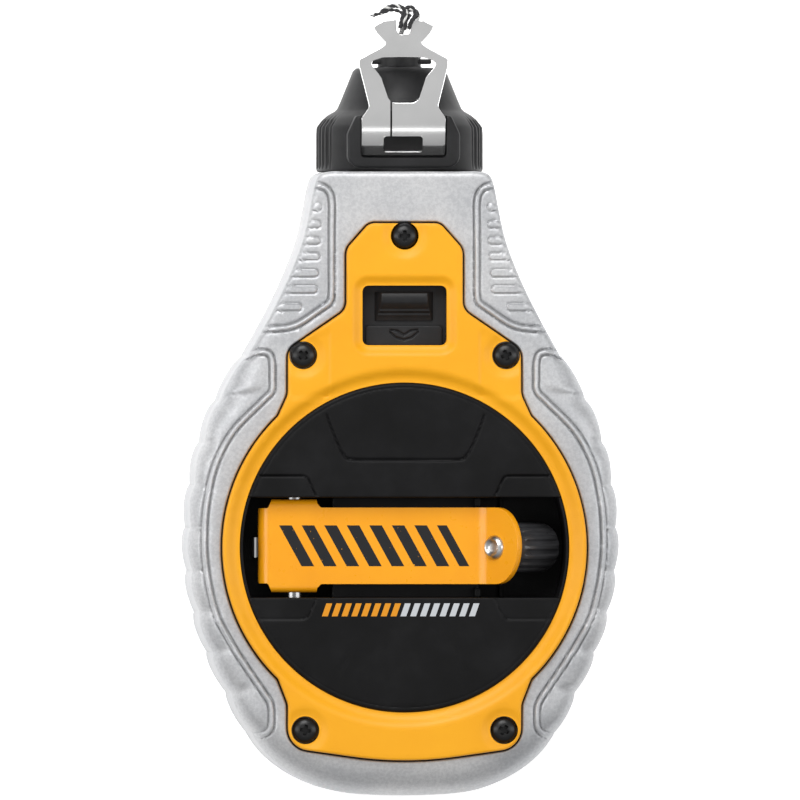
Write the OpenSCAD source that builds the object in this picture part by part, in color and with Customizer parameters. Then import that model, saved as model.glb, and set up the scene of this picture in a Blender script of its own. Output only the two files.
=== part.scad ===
// Chalk line reel, lying on its back: +Z comes out of the crank side, +Y runs toward the line outlet.
// The origin is on the crank and spool axis, at the back face. All lengths are in millimetres.

/* [Case] */

// depth of the cast case, back face to front rim
case_d = 48; // [40:0.5:56]
// half width of the case at its widest
case_hw = 51.9; // [46:0.1:58]
// top of the case, where the outlet collar starts
case_top = 90; // [84:0.5:96]
// lowest corner the bottom arc is drawn from
case_low = -60.9; // [-66:0.1:-55]
// wall thickness of the casting
wall = 2.5; // [1.8:0.1:4]
// height of the line outlet axis above the back face
neck_z = 24; // [20:0.5:28]
// outer radius of the outlet neck
neck_r = 14; // [12:0.1:15]
// radius of the filling hole through the neck
neck_bore = 11.5; // [9:0.1:12.5]
// end of the neck
neck_end = 100; // [96:0.5:104]

/* [Front cover] */

// outer radius of the round part of the cover
cover_r = 43.8; // [42:0.1:46]
// radius of the round opening the crank disc shows through
cover_open_r = 40.2; // [38:0.1:41]
// underside and top of the cover plate
cover_z0 = 46; // [44:0.1:47]
cover_z1 = 50; // [48:0.1:52]
// width of the dark seal line between cover and case
seal_w = 0.8; // [0.5:0.05:1.2]
// inner and outer radius of the skirt that reaches down round the gears
skirt_r0 = 41.95; // [41.5:0.05:43]
skirt_r1 = 43.6; // [42.5:0.1:44]
// lower end of the skirt
skirt_z0 = 21.6; // [20:0.1:24]

/* [Crank disc] */

// radius of the visible face of the disc
disc_r = 39.4; // [38:0.1:40]
// radius of the disc body that turns under the cover lip
disc_body_r = 41.6; // [40.5:0.1:41.7]
// underside of the disc moulding
disc_z0 = 30.1; // [29:0.1:32]
// top of the disc face
disc_z1 = 49.5; // [48:0.1:51]
// half width of the channel the crank arm folds into
channel_hw = 12; // [11.8:0.1:14]
// floor of the channel under the arm, and of the two deep pockets
channel_z = 41; // [38:0.1:42]
pocket_z = 31.3; // [31:0.1:34]
// where the deep pocket for the knob starts, and where the one for the arm tail ends
pocket_x = 18.2; // [14:0.1:20]
tail_x = -17.1; // [-20:0.1:-12]

/* [Crank] */

// distance of the fold pin from the disc axis, and its height
pin_x = -26.2; // [-28:0.1:-22]
pin_z = 42; // [40:0.1:43]
// radius of the fold pin
pin_r = 2; // [1.5:0.1:2.5]
// half width, top face and thickness of the stamped arm
arm_hw = 9.15; // [8:0.05:10]
arm_z = 45.5; // [44.5:0.1:46]
arm_t = 1.6; // [1.2:0.1:2]
// where the arm bends up into the knob tab, and the angle of that bend
bend_x = 18.7; // [16:0.1:22]
bend_a = 45; // [30:1:60]
// distance of the knob rivet from the bend, along the tab
rivet_s = 4.0; // [3:0.1:6]
// radius and length of the turning knob
knob_r = 5.93; // [5:0.05:6.5]
knob_len = 15.9; // [12:0.1:16.4]
// number of ribs round the knob
knob_ribs = 15; // [10:1:20]

/* [Gears] */

// tooth size (module) and pressure angle
gear_m = 1; // [0.8:0.05:1.1]
gear_pa = 25; // [20:1:27]
// teeth of the sun gear and of each planet gear
sun_n = 12; // [12:1:14]
planet_n = 24; // [22:1:26]
// play left between meshing teeth
backlash = 0.26; // [0.1:0.02:0.4]
// underside and top of the gear teeth
gear_z0 = 22.5; // [22:0.1:23]
gear_z1 = 27.5; // [26:0.1:28]

/* [Spool] */

// radius of the spool flanges and of the spool core
spool_r = 39.5; // [36:0.1:40]
core_r = 12; // [9:0.1:16]
// outer radius of the wound line
winding_r = 33; // [20:0.5:38]
// underside and top of the spool
spool_z0 = 3.6; // [3.3:0.1:4.5]
spool_z1 = 19.4; // [16:0.1:19.5]
// radius of the steel axle
axle_r = 3; // [2:0.1:3.5]

/* [Outlet cap and hook] */

// radius of the grip collar of the cap
cap_r = 20; // [18:0.1:22]
// end of the collar and end of the nozzle
collar_end = 100.7; // [99:0.1:103]
nozzle_end = 118.5; // [114:0.1:119]
// radius of the nozzle
nozzle_r = 5.1; // [4:0.1:5.5]
// floor of the pocket the hook lies in, and top of its frame
hook_floor = 39.3; // [39:0.1:40]
hook_frame = 45; // [43:0.1:46]
// underside and thickness of the sheet-steel hook
hook_z = 43.2; // [42.8:0.1:44]
hook_t = 1.2; // [0.8:0.1:1.6]
// diameter of the braided line
line_d = 1.2; // [0.8:0.1:1.6]

/* [Clutch slider] */

// half width, lower end and upper end of the window in the cover
window_hw = 10.1; // [8:0.1:11]
window_y0 = 48.4; // [47:0.1:50]
window_y1 = 62.7; // [60:0.1:64]
// travel of the slider that frees the ring gear
slide_travel = 3.8; // [3:0.1:4]

/* [Hidden] */

$fn = 64;
play = 0.05;
ring_n = sun_n + 2 * planet_n;
addendum = gear_m;
dedendum = 1.25 * gear_m;
ring_addendum = 0.8 * gear_m;
planet_orbit = gear_m * (sun_n + planet_n) / 2;
planet_angles = [90, 210, 330];
screw_at = [[0, 74.6], [24.3, 46], [-24.3, 46], [23.8, -43.7], [-23.8, -43.7]];
boss_r = 3.6;
boss_top_r = 3.1;
seal_z0 = case_d - 3.4;
bracket_z = neck_z + neck_r + 1;
screw_head_r = 3;
screw_shank_r = 1.35;
plate_lugs = [[15, 43], [-15, 43], [14, -43.5], [-14, -43.5]];
lug_r = 2.7;
carrier_screw_at = [[22, 26.5], [-22, 26.5], [22, -26.5], [-22, -26.5]];
arm_tail_x = pin_x - 8.7;
tab_origin = [bend_x, 0, arm_z];
detent_x = arm_tail_x - 1;
rivet_r = 2;
planet_pin_r = 2;
line_hole_r = 1;
eyelet_r0 = 0.65;
eyelet_r1 = 2.4;
eyelet_y0 = 112;
groove_r0 = 34;
groove_r1 = 38;
ring_r = 41.5;
tongue_z0 = 26.8;
tongue_z1 = 28.2;

// ---- outlines ----

function unit(v) = v / norm(v);

// round one corner q between its neighbours p and s with radius r, in n steps
function corner(p, q, s, r, n) =
  r == 0 ? [q] :
  let (
    a = unit(p - q),
    b = unit(s - q),
    half = acos(a * b) / 2,
    c = q + unit(a + b) * r / sin(half),
    t0 = q + a * r / tan(half) - c,
    t1 = q + b * r / tan(half) - c,
    a0 = atan2(t0[1], t0[0]),
    turn = atan2(t1[1], t1[0]) - a0,
    da = turn > 180 ? turn - 360 : turn < -180 ? turn + 360 : turn
  )
  [for (k = [0:n]) c + r * [cos(a0 + da * k / n), sin(a0 + da * k / n)]];

function xy(p) = [p[0], p[1]];

// outline from corners [x, y, radius]
function rounded(c, n = 5) =
  let (m = len(c))
  [for (i = [0:m - 1]) each corner(xy(c[(i + m - 1) % m]), xy(c[i]), xy(c[(i + 1) % m]), c[i][2], n)];

// the corners of the right half, bottom to top, and their mirror images
function both_sides(c) =
  concat(c, [for (i = [len(c) - 1:-1:0]) if (c[i][0] > 0) [-c[i][0], c[i][1], c[i][2]]]);

// the outline moved inward by d (outward where d is negative)
function inset(p, d) =
  let (m = len(p))
  [for (i = [0:m - 1])
    let (
      a = unit(p[i] - p[(i + m - 1) % m]),
      b = unit(p[(i + 1) % m] - p[i]),
      t = unit(a + b)
    )
    p[i] + [-t[1], t[0]] * d / (t * b)];

// corners along an arc, not rounded any further
function arc_points(r, a0, a1, n) =
  [for (i = [0:n]) let (a = a0 + (a1 - a0) * i / n) [r * cos(a), r * sin(a), 0]];

case_outline = rounded(both_sides([
  [0, case_low, 94],
  [26.2, -56.0, 24],
  [36.4, -45.6, 16],
  [46.8, -24, 40],
  [case_hw, -6, 36],
  [51.4, 15, 36],
  [44.6, 33.5, 30],
  [28.8, 60.5, 40],
  [23.9, 74, 40],
  [20.8, case_top, 5]
]), 4);

cover_outline = rounded(both_sides(concat(
  [[0, -52, 89], [28.1, -48, 5.5], [28.1, -37.5, 2]],
  arc_points(cover_r, -46, 46, 22),
  [[28.1, 36.6, 2], [28.1, 47.4, 4], [14.1, 57, 2.5], [14.1, 71.5, 3], [8.5, 77.8, 2]]
)));

// ---- small helpers ----

// smooth shell through the same outline at several heights: rings are [z, inset]
module lofted(outline, rings) {
  m = len(outline);
  k = len(rings);
  points = [for (r = rings) each [for (p = inset(outline, r[1])) [p[0], p[1], r[0]]]];
  sides = [for (j = [0:k - 2]) each [for (i = [0:m - 1])
    let (i2 = (i + 1) % m, a = j * m + i, b = j * m + i2, c = a + m, d = b + m)
    each [[a, c, b], [b, c, d]]]];
  polyhedron(points, concat([[for (i = [0:m - 1]) i]], sides, [[for (i = [m - 1:-1:0]) (k - 1) * m + i]]));
}

module plate(outline, z0, z1) {
  translate([0, 0, z0]) linear_extrude(z1 - z0) polygon(outline);
}

module rod(r, z0, z1) {
  translate([0, 0, z0]) cylinder(r = r, h = z1 - z0);
}

module ring(r0, r1, z0, z1) {
  difference() {
    rod(r1, z0, z1);
    rod(r0, z0 - 1, z1 + 1);
  }
}

module block(x0, x1, y0, y1, z0, z1) {
  translate([x0, y0, z0]) cube([x1 - x0, y1 - y0, z1 - z0]);
}

// rectangle with rounded corners
function rounded_box(x0, x1, y0, y1, r) = rounded([[x0, y0, r], [x1, y0, r], [x1, y1, r], [x0, y1, r]]);

// things along the outlet axis: local +Z becomes +Y
module on_outlet() {
  translate([0, 0, neck_z]) rotate([-90, 0, 0]) children();
}

// things along a line across the disc channel: local +Z becomes +Y, centred
module across(x, z, r, half) {
  translate([x, half, z]) rotate([90, 0, 0]) cylinder(r = r, h = 2 * half);
}

// round cord through a list of points, one ring of corners at each; side is any direction across the cord
module cord(points, r, side = [1, 0, 0]) {
  n = 12;
  m = len(points);
  steps = [for (i = [0:m - 2]) unit(points[i + 1] - points[i])];
  corners = [for (i = [0:m - 1]) each
    let (
      d = unit(steps[max(0, i - 1)] + steps[min(m - 2, i)]),
      u = unit(cross(d, side)),
      v = cross(d, u)
    )
    [for (k = [0:n - 1]) points[i] + r * (u * cos(360 * k / n) + v * sin(360 * k / n))]];
  walls = [for (j = [0:m - 2]) each [for (i = [0:n - 1])
    let (i2 = (i + 1) % n, a = j * n + i, b = j * n + i2, c = a + n, d = b + n)
    each [[a, c, b], [b, c, d]]]];
  polyhedron(corners, concat([[for (i = [0:n - 1]) i]], walls, [[for (i = [n - 1:-1:0]) (m - 1) * n + i]]));
}

// ---- gear teeth ----

function involute(a) = tan(a) * 180 / PI - a;

// half the angle a tooth takes up at radius r
function half_tooth(n, r, slack) =
  let (rp = gear_m * n / 2, rb = rp * cos(gear_pa), a = acos(min(1, rb / max(r, rb))))
  90 / n - slack / (2 * rp) * 90 / PI + involute(gear_pa) - involute(a);

// tooth outline of a gear with n teeth between radii r0 and r1
function gear_points(n, r0, r1, slack, steps = 3) =
  let (rs = [for (k = [0:steps]) r0 + (r1 - r0) * k / steps])
  [for (i = [0:n - 1]) let (mid = 360 * i / n) each concat(
    [for (r = rs) let (a = mid - half_tooth(n, r, slack)) r * [cos(a), sin(a)]],
    [for (k = [steps:-1:0]) let (r = rs[k], a = mid + half_tooth(n, r, slack)) r * [cos(a), sin(a)]]
  )];

function external_teeth(n) =
  gear_points(n, n * gear_m / 2 - dedendum, n * gear_m / 2 + addendum, backlash / 2);

// ---- the case ----

module case_shell() {
  color("silver") difference() {
    union() {
      difference() {
        lofted(case_outline, [
          [0, 2.2], [0.8, 0.8], [3, 0], [case_d - 9, 0],
          [case_d - 4.5, 0.9], [case_d - 1.5, 2.6], [case_d, 4.4]
        ]);
        plate(inset(case_outline, wall), wall, seal_z0 - 0.1);
        plate(inset(cover_outline, -seal_w), wall + 10, case_d + 1);
      }
      on_outlet() rod(neck_r, case_top - wall, neck_end);
      // bosses and the bracket of the upper screw, all clear of the seal
      for (s = [1:4]) translate(screw_at[s]) rod(boss_r, wall / 2, seal_z0 - 0.1);
      block(-boss_r, boss_r, screw_at[0][1] - boss_r, case_top - wall + 0.2, bracket_z, seal_z0 - 0.1);
      for (s = screw_at) translate(s) rod(boss_top_r, bracket_z, cover_z0);
      rod(6.5, wall / 2, 3.1);
    }
    on_outlet() rod(neck_bore, case_top - 8, neck_end + 1);
    on_outlet() ring(neck_r - 1.6, neck_r + 1, 94, 96.2);
    rod(axle_r + 0.02, 0.8, wall + 5);
    for (s = screw_at) translate(s) rod(screw_shank_r + play, cover_z0 - 11, cover_z0 + 1);
  }
}

module front_cover() {
  color("gold") difference() {
    union() {
      plate(cover_outline, cover_z0, cover_z1);
      ring(skirt_r0, skirt_r1, skirt_z0, cover_z0 + 1);
      for (l = plate_lugs) translate(l) rod(lug_r, skirt_z0, cover_z0 + 1);
      for (side = [-1, 1]) scale([side, 1, 1]) {
        block(12.1, 13.3, window_y0 - 0.6, window_y1 + 4, 42.6, cover_z0 + 1);
        block(10.6, 13.3, window_y0 - 0.6, window_y1 + 4, 42.6, 43.3);
      }
    }
    rod(cover_open_r, cover_z0 - 1, cover_z1 + 1);
    rod(skirt_r0, cover_z0 - 3, cover_z0);
    translate([0, 0, cover_z1 - 1.6]) cylinder(r1 = cover_open_r, r2 = cover_open_r + 2.4, h = 1.7);
    for (s = screw_at) translate(s) {
      rod(screw_shank_r + 0.35, cover_z0 - 1, cover_z1 + 1);
      rod(screw_head_r + 0.35, cover_z1 - 2.4, cover_z1 + 1);
    }
    for (l = plate_lugs) translate(l) rod(1 + play, skirt_z0 - 1, skirt_z0 + 9);
    plate(rounded_box(-window_hw, window_hw, window_y0, window_y1, 1.4), cover_z0 - 1, cover_z1 + 1);
    block(-4.5, 4.5, skirt_r0 - 1.5, skirt_r1 + 1, tongue_z0 - 0.5, tongue_z1 + 0.5);
  }
}

module cover_seal() {
  color("dimgray") difference() {
    plate(inset(cover_outline, -(seal_w - play)), seal_z0, case_d - 0.6);
    plate(inset(cover_outline, -play), case_d - 4, case_d);
  }
}

module cover_screws() {
  color("black") for (s = screw_at) translate([s[0], s[1], cover_z1 - 2.35]) difference() {
    union() {
      cylinder(r = screw_head_r, h = 1.2);
      translate([0, 0, 1.2]) cylinder(r1 = screw_head_r, r2 = screw_head_r - 0.8, h = 0.6);
      rod(screw_shank_r, -11.5, 0.5);
    }
    for (a = [0, 90]) rotate(a) translate([-1.7, -0.4, 0.8]) cube([3.4, 0.8, 2]);
  }
}

// ---- crank disc and folding crank ----

module crank_disc() {
  color("#2b2b2e") difference() {
    union() {
      rod(disc_body_r, disc_z0, cover_z0 - 0.4);
      rod(disc_r, cover_z0 - 1, disc_z1 - 0.5);
      translate([0, 0, disc_z1 - 0.5]) cylinder(r1 = disc_r, r2 = disc_r - 0.5, h = 0.5);
    }
    intersection() {
      rod(disc_r - 0.8, 0, disc_z1 + 1);
      union() {
        block(-disc_r, disc_r, -channel_hw, channel_hw, channel_z, disc_z1 + 1);
        block(pocket_x, disc_r, -channel_hw, channel_hw, pocket_z, disc_z1);
        block(-disc_r, tail_x, -channel_hw, channel_hw, pocket_z, disc_z1);
      }
    }
    for (side = [-1, 1]) scale([1, side, 1]) difference() {
      intersection() {
        rod(disc_r - 2.4, disc_z0 - 1, disc_z1 - 2.5);
        block(-disc_r, disc_r, channel_hw + 2.6, disc_r, 0, disc_z1);
      }
      for (c = carrier_screw_at) if (c[1] > 0) translate(c) rod(2.6, 0, disc_z1);
    }
    difference() {
      rod(pocket_x - 2.2, disc_z0 - 1, channel_z - 2.2);
      rod(6, 0, channel_z);
      for (side = [-1, 1]) scale([1, side, 1]) block(-disc_r, disc_r, channel_hw, disc_r, 0, channel_z);
      block(-disc_r, tail_x + 2.2, -disc_r, disc_r, 0, channel_z);
    }
    rod(axle_r + play, disc_z0 - 1, 36.4);
    for (c = carrier_screw_at) translate(c) rod(1 + play, disc_z0 - 1, 40);
    across(pin_x, pin_z, pin_r + 0.03, channel_hw + 3);
  }
}

module carrier_plate() {
  color("slategray") difference() {
    rod(38, 28.6, 30);
    rod(axle_r + play, 28, 31);
    for (c = carrier_screw_at) translate([c[0], c[1], 28.5]) cylinder(r1 = 2.35, r2 = 1.1, h = 1.6);
    for (a = planet_angles) rotate(a) translate([planet_orbit, 0, 0]) rod(planet_pin_r + 0.02, 28, 31);
  }
}

module carrier_screws() {
  color("dimgray") for (c = carrier_screw_at) translate([c[0], c[1], 0]) {
    translate([0, 0, 28.6]) cylinder(r1 = 2.2, r2 = 1, h = 1.4);
    rod(1, 29.5, 38);
  }
}

// side view of the arm, x along and z up: curled tail, flat, start of the bend
function arm_side() =
  let (r = 3, x = arm_tail_x + r, z = arm_z - r)
  concat(
    [for (a = [90:15:180]) [x + r * cos(a), z + r * sin(a)]],
    [for (a = [180:-15:90]) [x + (r - arm_t) * cos(a), z + (r - arm_t) * sin(a)]],
    [for (k = [0:3]) let (a = -90 + bend_a * k / 3) [bend_x + arm_t * cos(a), arm_z + arm_t * sin(a)]],
    [[bend_x, arm_z]]
  );

module crank_arm() {
  color("goldenrod") difference() {
    union() {
      translate([0, arm_hw, 0]) rotate([90, 0, 0]) linear_extrude(2 * arm_hw) polygon(arm_side());
      translate(tab_origin) rotate([0, -bend_a, 0]) translate([0, 0, -arm_t]) {
        block(0, rivet_s, -arm_hw, arm_hw, 0, arm_t);
        intersection() {
          translate([rivet_s, 0, 0]) cylinder(r = arm_hw, h = arm_t);
          block(0, rivet_s + arm_hw, -arm_hw, arm_hw, 0, arm_t);
        }
      }
      for (side = [-1, 1]) scale([1, side, 1]) {
        block(pin_x - 5.1, pin_x + 5.5, arm_hw - 1, 11.4, arm_z - arm_t, arm_z);
        block(pin_x - 5.1, pin_x + 5.5, 11.4 - arm_t, 11.4, pin_z - 2.8, arm_z);
      }
    }
    across(pin_x, pin_z, pin_r + play, channel_hw);
    on_tab() cylinder(r = rivet_r + 0.03, h = 2 * arm_t + 2, center = true);
  }
}

module crank_pin() {
  color("lightgray") across(pin_x, pin_z, pin_r, channel_hw + 2.5);
}

module detent_spring() {
  color("lightgray") {
    block(detent_x, detent_x + 0.45, -2.4, 2.4, pocket_z + 0.02, 47);
    block(detent_x, detent_x + 4.7, -2.4, 2.4, pocket_z + 0.02, pocket_z + 0.45);
  }
}

// local frame of the knob: origin on the tab's front face, local +Z runs down the knob
module on_tab() {
  translate(tab_origin) rotate([0, -bend_a, 0]) translate([rivet_s, 0, 0]) rotate([180, 0, 0]) children();
}

module crank_knob() {
  color("#202022") on_tab() difference() {
    union() {
      translate([0, 0, arm_t + 0.3]) cylinder(r = knob_r - 0.5, h = 3.4);
      translate([0, 0, arm_t + 3]) linear_extrude(knob_len - 4.7) polygon([for (i = [0:knob_ribs * 6 - 1])
        let (a = 60 * i / knob_ribs) (knob_r - 0.3 + 0.3 * cos(a * knob_ribs)) * [cos(a), sin(a)]]);
      translate([0, 0, arm_t + knob_len - 1.7]) cylinder(r1 = knob_r - 0.2, r2 = knob_r - 1.9, h = 1.7);
    }
    rod(rivet_r + play, -1, knob_len + 3);
    translate([0, 0, arm_t + knob_len - 2.2]) cylinder(r = 3.3, h = 3);
  }
}

module knob_rivet() {
  color("lightgray") on_tab() {
    rod(rivet_r, -0.5, arm_t + knob_len - 1);
    translate([0, 0, -1]) cylinder(r1 = rivet_r - 0.1, r2 = rivet_r + 0.9, h = 0.98);
    rod(rivet_r + 1, arm_t + knob_len - 2, arm_t + knob_len - 0.6);
  }
}

// ---- clutch ----

module clutch_slider() {
  color("#2a2a2c") {
    difference() {
      block(-11.8, 11.8, window_y0 - 0.6, window_y1 + 3.4, 43.6, 45.7);
      // chevron that points the way the slider goes
      for (side = [-1, 1]) translate([side * 1.7, 51, 45.7]) rotate(side * 40)
        cube([5, 0.8, 0.8], center = true);
    }
    translate([0, 0, 45]) linear_extrude(2) polygon(rounded_box(-7.4, 7.4, 54.1, 61.1, 1));
    translate([6.6, 0, 0]) rotate([0, -90, 0]) linear_extrude(13.2) polygon([
      [46.5, 54.4], [49.2, 58.2], [49.4, 59], [49.2, 60.4], [46.5, 61]
    ]);
    block(-4, 4, 47.8, 50, tongue_z0, 45);
    block(-4, 4, 38.9, 49, tongue_z0, tongue_z1);
    block(-3.9, 3.9, 38.9, 41, 24.9, tongue_z1 - 0.5);
  }
}

// ---- gear train ----

// what the planet gears' teeth sweep out of the ring
module ring_tooth_space() {
  rp = ring_n * gear_m / 2;
  rotate(180 / ring_n)
    plate(gear_points(ring_n, rp - ring_addendum, rp + dedendum, -backlash / 2), gear_z0 - 1, gear_z1 + 1);
}

module ring_gear() {
  notches = 16;
  color("tan") difference() {
    rod(ring_r, gear_z0, gear_z1 - 1.3);
    rod(groove_r0, gear_z1 - 2, gear_z1 + 1);
    ring(groove_r0, groove_r1, gear_z0 + 2, gear_z1);
    ring_tooth_space();
    for (i = [0:notches - 1]) rotate(360 * i / notches)
      block(-4.3, 4.3, groove_r1 - 1, ring_r + 1, gear_z0 + 2, gear_z1);
  }
  color("tan") difference() {
    rod(groove_r0, gear_z1 - 2.5, gear_z1);
    ring_tooth_space();
  }
}

module planet_gear(a) {
  color("ivory") rotate(a) translate([planet_orbit, 0, 0]) difference() {
    union() {
      rotate(180 + 180 / planet_n)
        plate(external_teeth(planet_n), gear_z0, gear_z1);
      rod(4, gear_z1 - 1, 28.2);
    }
    rod(planet_pin_r + play, 20, 30);
    for (i = [0:5]) rotate(60 * i) translate([7, 0, 0]) rod(2, 20, 30);
  }
}

module planet_gear_1() {
  planet_gear(planet_angles[0]);
}

module planet_gear_2() {
  planet_gear(planet_angles[1]);
}

module planet_gear_3() {
  planet_gear(planet_angles[2]);
}

module planet_pins() {
  color("lightgray") for (a = planet_angles) rotate(a) translate([planet_orbit, 0, 0]) {
    rod(planet_pin_r, 22, 30);
    rod(planet_pin_r + 1.2, 21.8, 22.2);
  }
}

module sun_gear() {
  color("peru") difference() {
    union() {
      rod(4.7, 13, gear_z0);
      plate(external_teeth(sun_n), gear_z0 - 0.3, gear_z1 + 0.3);
    }
    rod(axle_r + play, 0, 40);
  }
}

module thrust_washers() {
  color("lightgray") {
    ring(axle_r + play, 5.4, 28, 28.4);
    ring(axle_r + play, 5.4, 3.15, 3.5);
  }
}

module gear_plate() {
  color("#8d9093") difference() {
    union() {
      rod(skirt_r1, 20, skirt_z0 - play);
      for (l = plate_lugs) translate(l) rod(lug_r, 20, skirt_z0 - play);
    }
    rod(8, 19, 23);
    for (l = plate_lugs) translate(l) rod(1.15, 19, 23);
  }
}

module gear_plate_screws() {
  color("dimgray") for (l = plate_lugs) translate(l) {
    rod(1.9, 18.7, 19.97);
    rod(1, 19.5, 29);
  }
}

module hub_felt() {
  color("white") ring(4.75, 7.97, 19.9, skirt_z0 - 0.1);
}

// ---- spool and line ----

module spool() {
  color("#303033") difference() {
    union() {
      rod(spool_r, spool_z0, spool_z0 + 1.5);
      rod(spool_r, spool_z1 - 1.5, spool_z1);
      rod(core_r, spool_z0, spool_z1);
    }
    rod(axle_r + play, 0, 30);
    rod(4.73, 12.9, 30);
    for (i = [0:5]) rotate(60 * i) translate([8.4, 0, 0]) rod(2.2, spool_z0 + 2, 30);
    for (i = [0:5]) rotate(60 * i + 30) translate([24, 0, 0]) rod(5.5, spool_z1 - 2, spool_z1 + 1);
  }
}

module spool_axle() {
  color("lightgray") difference() {
    rod(axle_r, 0.85, 36);
    translate([0, 0, 35.4]) ring(axle_r - 0.4, axle_r + 1, 0, 1);
  }
}

module line_winding() {
  coils = 9;
  z0 = spool_z0 + 1.6;
  pitch = (spool_z1 - spool_z0 - 3.2) / coils;
  color("whitesmoke") rotate_extrude() difference() {
    translate([core_r + 0.1, z0]) square([winding_r - core_r, pitch * coils]);
    for (i = [0:coils]) translate([winding_r + 0.35, z0 + pitch * i]) circle(r = 0.5);
  }
}

// where the line enters the outlet, and the height of its knot over the hook
outlet_in = [0, 70, neck_z];
knot_z = hook_z + hook_t + 1.3;
inside_path = [[-29.4, 16.4, 11.5], [-16, 44, 17], [-3, 66, 23], outlet_in - [0, 0.4, 0]];
outside_path = [
  outlet_in, [0, nozzle_end + 1.1, neck_z], [0.1, 123.8, 34], [0.2, 125.2, knot_z - 2.4], [1.4, 127, knot_z]
];
tail_path = [[1.2, 128, knot_z], [-2.4, 129.3, knot_z], [-7.3, 127.4, knot_z - 0.3]];

module line_run() {
  color("whitesmoke") cord(inside_path, line_d / 2);
}

// ---- outlet cap ----

// half outline of the cap as radius against distance along the outlet axis
cap_side = [
  [1.2, 89.9], [cap_r - 0.5, 90.1], [cap_r, 90.6], [cap_r, collar_end - 0.6], [cap_r - 0.7, collar_end],
  [17, 103], [14.8, 105], [11.4, 113], [9.6, 114.4], [nozzle_r, 114.4], [nozzle_r, nozzle_end - 0.6],
  [nozzle_r - 0.6, nozzle_end], [1.2, nozzle_end]
];

module nose_cap() {
  color("#262628") difference() {
    union() {
      difference() {
        on_outlet() rotate_extrude() polygon(cap_side);
        block(-30, 30, 102.5, 125, hook_floor - 1, 60);
      }
      for (side = [0, 180]) for (i = [-2:2]) on_outlet() rotate(side + 9 * i)
        translate([cap_r - 0.2, 0, 0]) rod(0.55, 91, collar_end - 0.7);
      plate(rounded_box(-13.5, 13.5, 90.9, 109, 2), neck_z, hook_frame);
      intersection() {
        block(-7.6, 7.6, 115.9, 117.1, neck_z - 3, neck_z + 3);
        block(-8, 8, 110, 118, 0, hook_floor - 1);
      }
    }
    plate(rounded([
      [-10.35, 93.3, 1.2], [10.35, 93.3, 1.2], [10.35, 130, 0], [-10.35, 130, 0]
    ]), hook_floor, 60);
    block(-14, 14, 104, 130, hook_floor, 60);
    on_outlet() {
      rod(neck_r + 0.4, 80, neck_end + 0.3);
      rod(line_hole_r, 80, 130);
      rod(eyelet_r1, eyelet_y0, 130);
    }
  }
}

module cap_seal() {
  color("black") on_outlet() translate([0, 0, 95.1])
    rotate_extrude() translate([neck_r - 0.55, 0]) circle(r = 0.9);
}

module line_wiper() {
  color("beige") on_outlet() ring(0.65, neck_bore - 0.05, 88, 97);
}

module line_eyelet() {
  color("lightgray") on_outlet() rotate_extrude() polygon([
    [eyelet_r0, eyelet_y0 + 0.1], [eyelet_r1 - 0.03, eyelet_y0 + 0.1], [eyelet_r1 - 0.03, nozzle_end + 0.02],
    [eyelet_r1 + 0.5, nozzle_end + 0.02], [eyelet_r1 + 0.5, nozzle_end + 0.5],
    [eyelet_r0 + 0.5, nozzle_end + 0.5], [eyelet_r0, nozzle_end - 0.5]
  ]);
}

module line_end() {
  color("gainsboro") {
    cord(outside_path, line_d / 2);
    translate([1.9, 127.4, knot_z]) sphere(r = 1.5, $fn = 12);
    cord(tail_path, line_d / 2 - 0.1, [0, 0, 1]);
  }
}

// outline of the flat part of the hook: claws on top, waist, shoulders, flared foot
hook_half = [
  [1.8, 122.8, 0.6], [1.8, 126.5, 0.3], [7, 125, 0.5], [4.2, 121.8, 0.8], [4.1, 119.8, 0.8],
  [10.5, 116.4, 1.5], [8, 105.8, 3], [10, 103.4, 0.5], [10, 103, 0]
];

module hook() {
  bend_r = 15.5;
  bend_y = 103;
  foot_a = 37;
  color("lightgray") difference() {
    union() {
      difference() {
        plate(rounded(concat(
          [for (i = [len(hook_half) - 1:-1:0]) hook_half[i]],
          [for (p = hook_half) [-p[0], p[1], p[2]]]
        ), 3), hook_z, hook_z + hook_t);
        plate(rounded([[-3, 106.4, 1.6], [3, 106.4, 1.6], [7.6, 115.5, 0.6], [4.9, 117.4, 0.6],
          [-4.9, 117.4, 0.6], [-7.6, 115.5, 0.6]], 3), hook_z - 1, hook_z + hook_t + 1);
      }
      // the foot: the sheet rolls back into the cap's pocket
      translate([-10, bend_y, hook_z + hook_t - bend_r]) rotate([90, 0, 90]) linear_extrude(20)
        polygon(concat(
          [for (k = [0:8]) let (a = 90 + foot_a * k / 8) bend_r * [cos(a), sin(a)]],
          [for (k = [8:-1:0]) let (a = 90 + foot_a * k / 8) (bend_r - hook_t) * [cos(a), sin(a)]]
        ));
    }
    plate(rounded_box(-4.7, 4.6, 94.6, 98.7, 0.8), 20, 60);
    block(-3.2, -2.7, 98, 107, 20, 60);
  }
}

case_shell();
front_cover();
cover_seal();
cover_screws();
crank_disc();
carrier_plate();
carrier_screws();
crank_arm();
crank_pin();
detent_spring();
crank_knob();
knob_rivet();
clutch_slider();
ring_gear();
planet_gear_1();
planet_gear_2();
planet_gear_3();
planet_pins();
sun_gear();
thrust_washers();
gear_plate();
gear_plate_screws();
hub_felt();
spool();
spool_axle();
line_winding();
line_run();
nose_cap();
cap_seal();
line_wiper();
line_eyelet();
line_end();
hook();
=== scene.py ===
import math

import bmesh
import bpy
import numpy as np
from mathutils import Matrix, Vector
from mathutils.geometry import delaunay_2d_cdt


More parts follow.
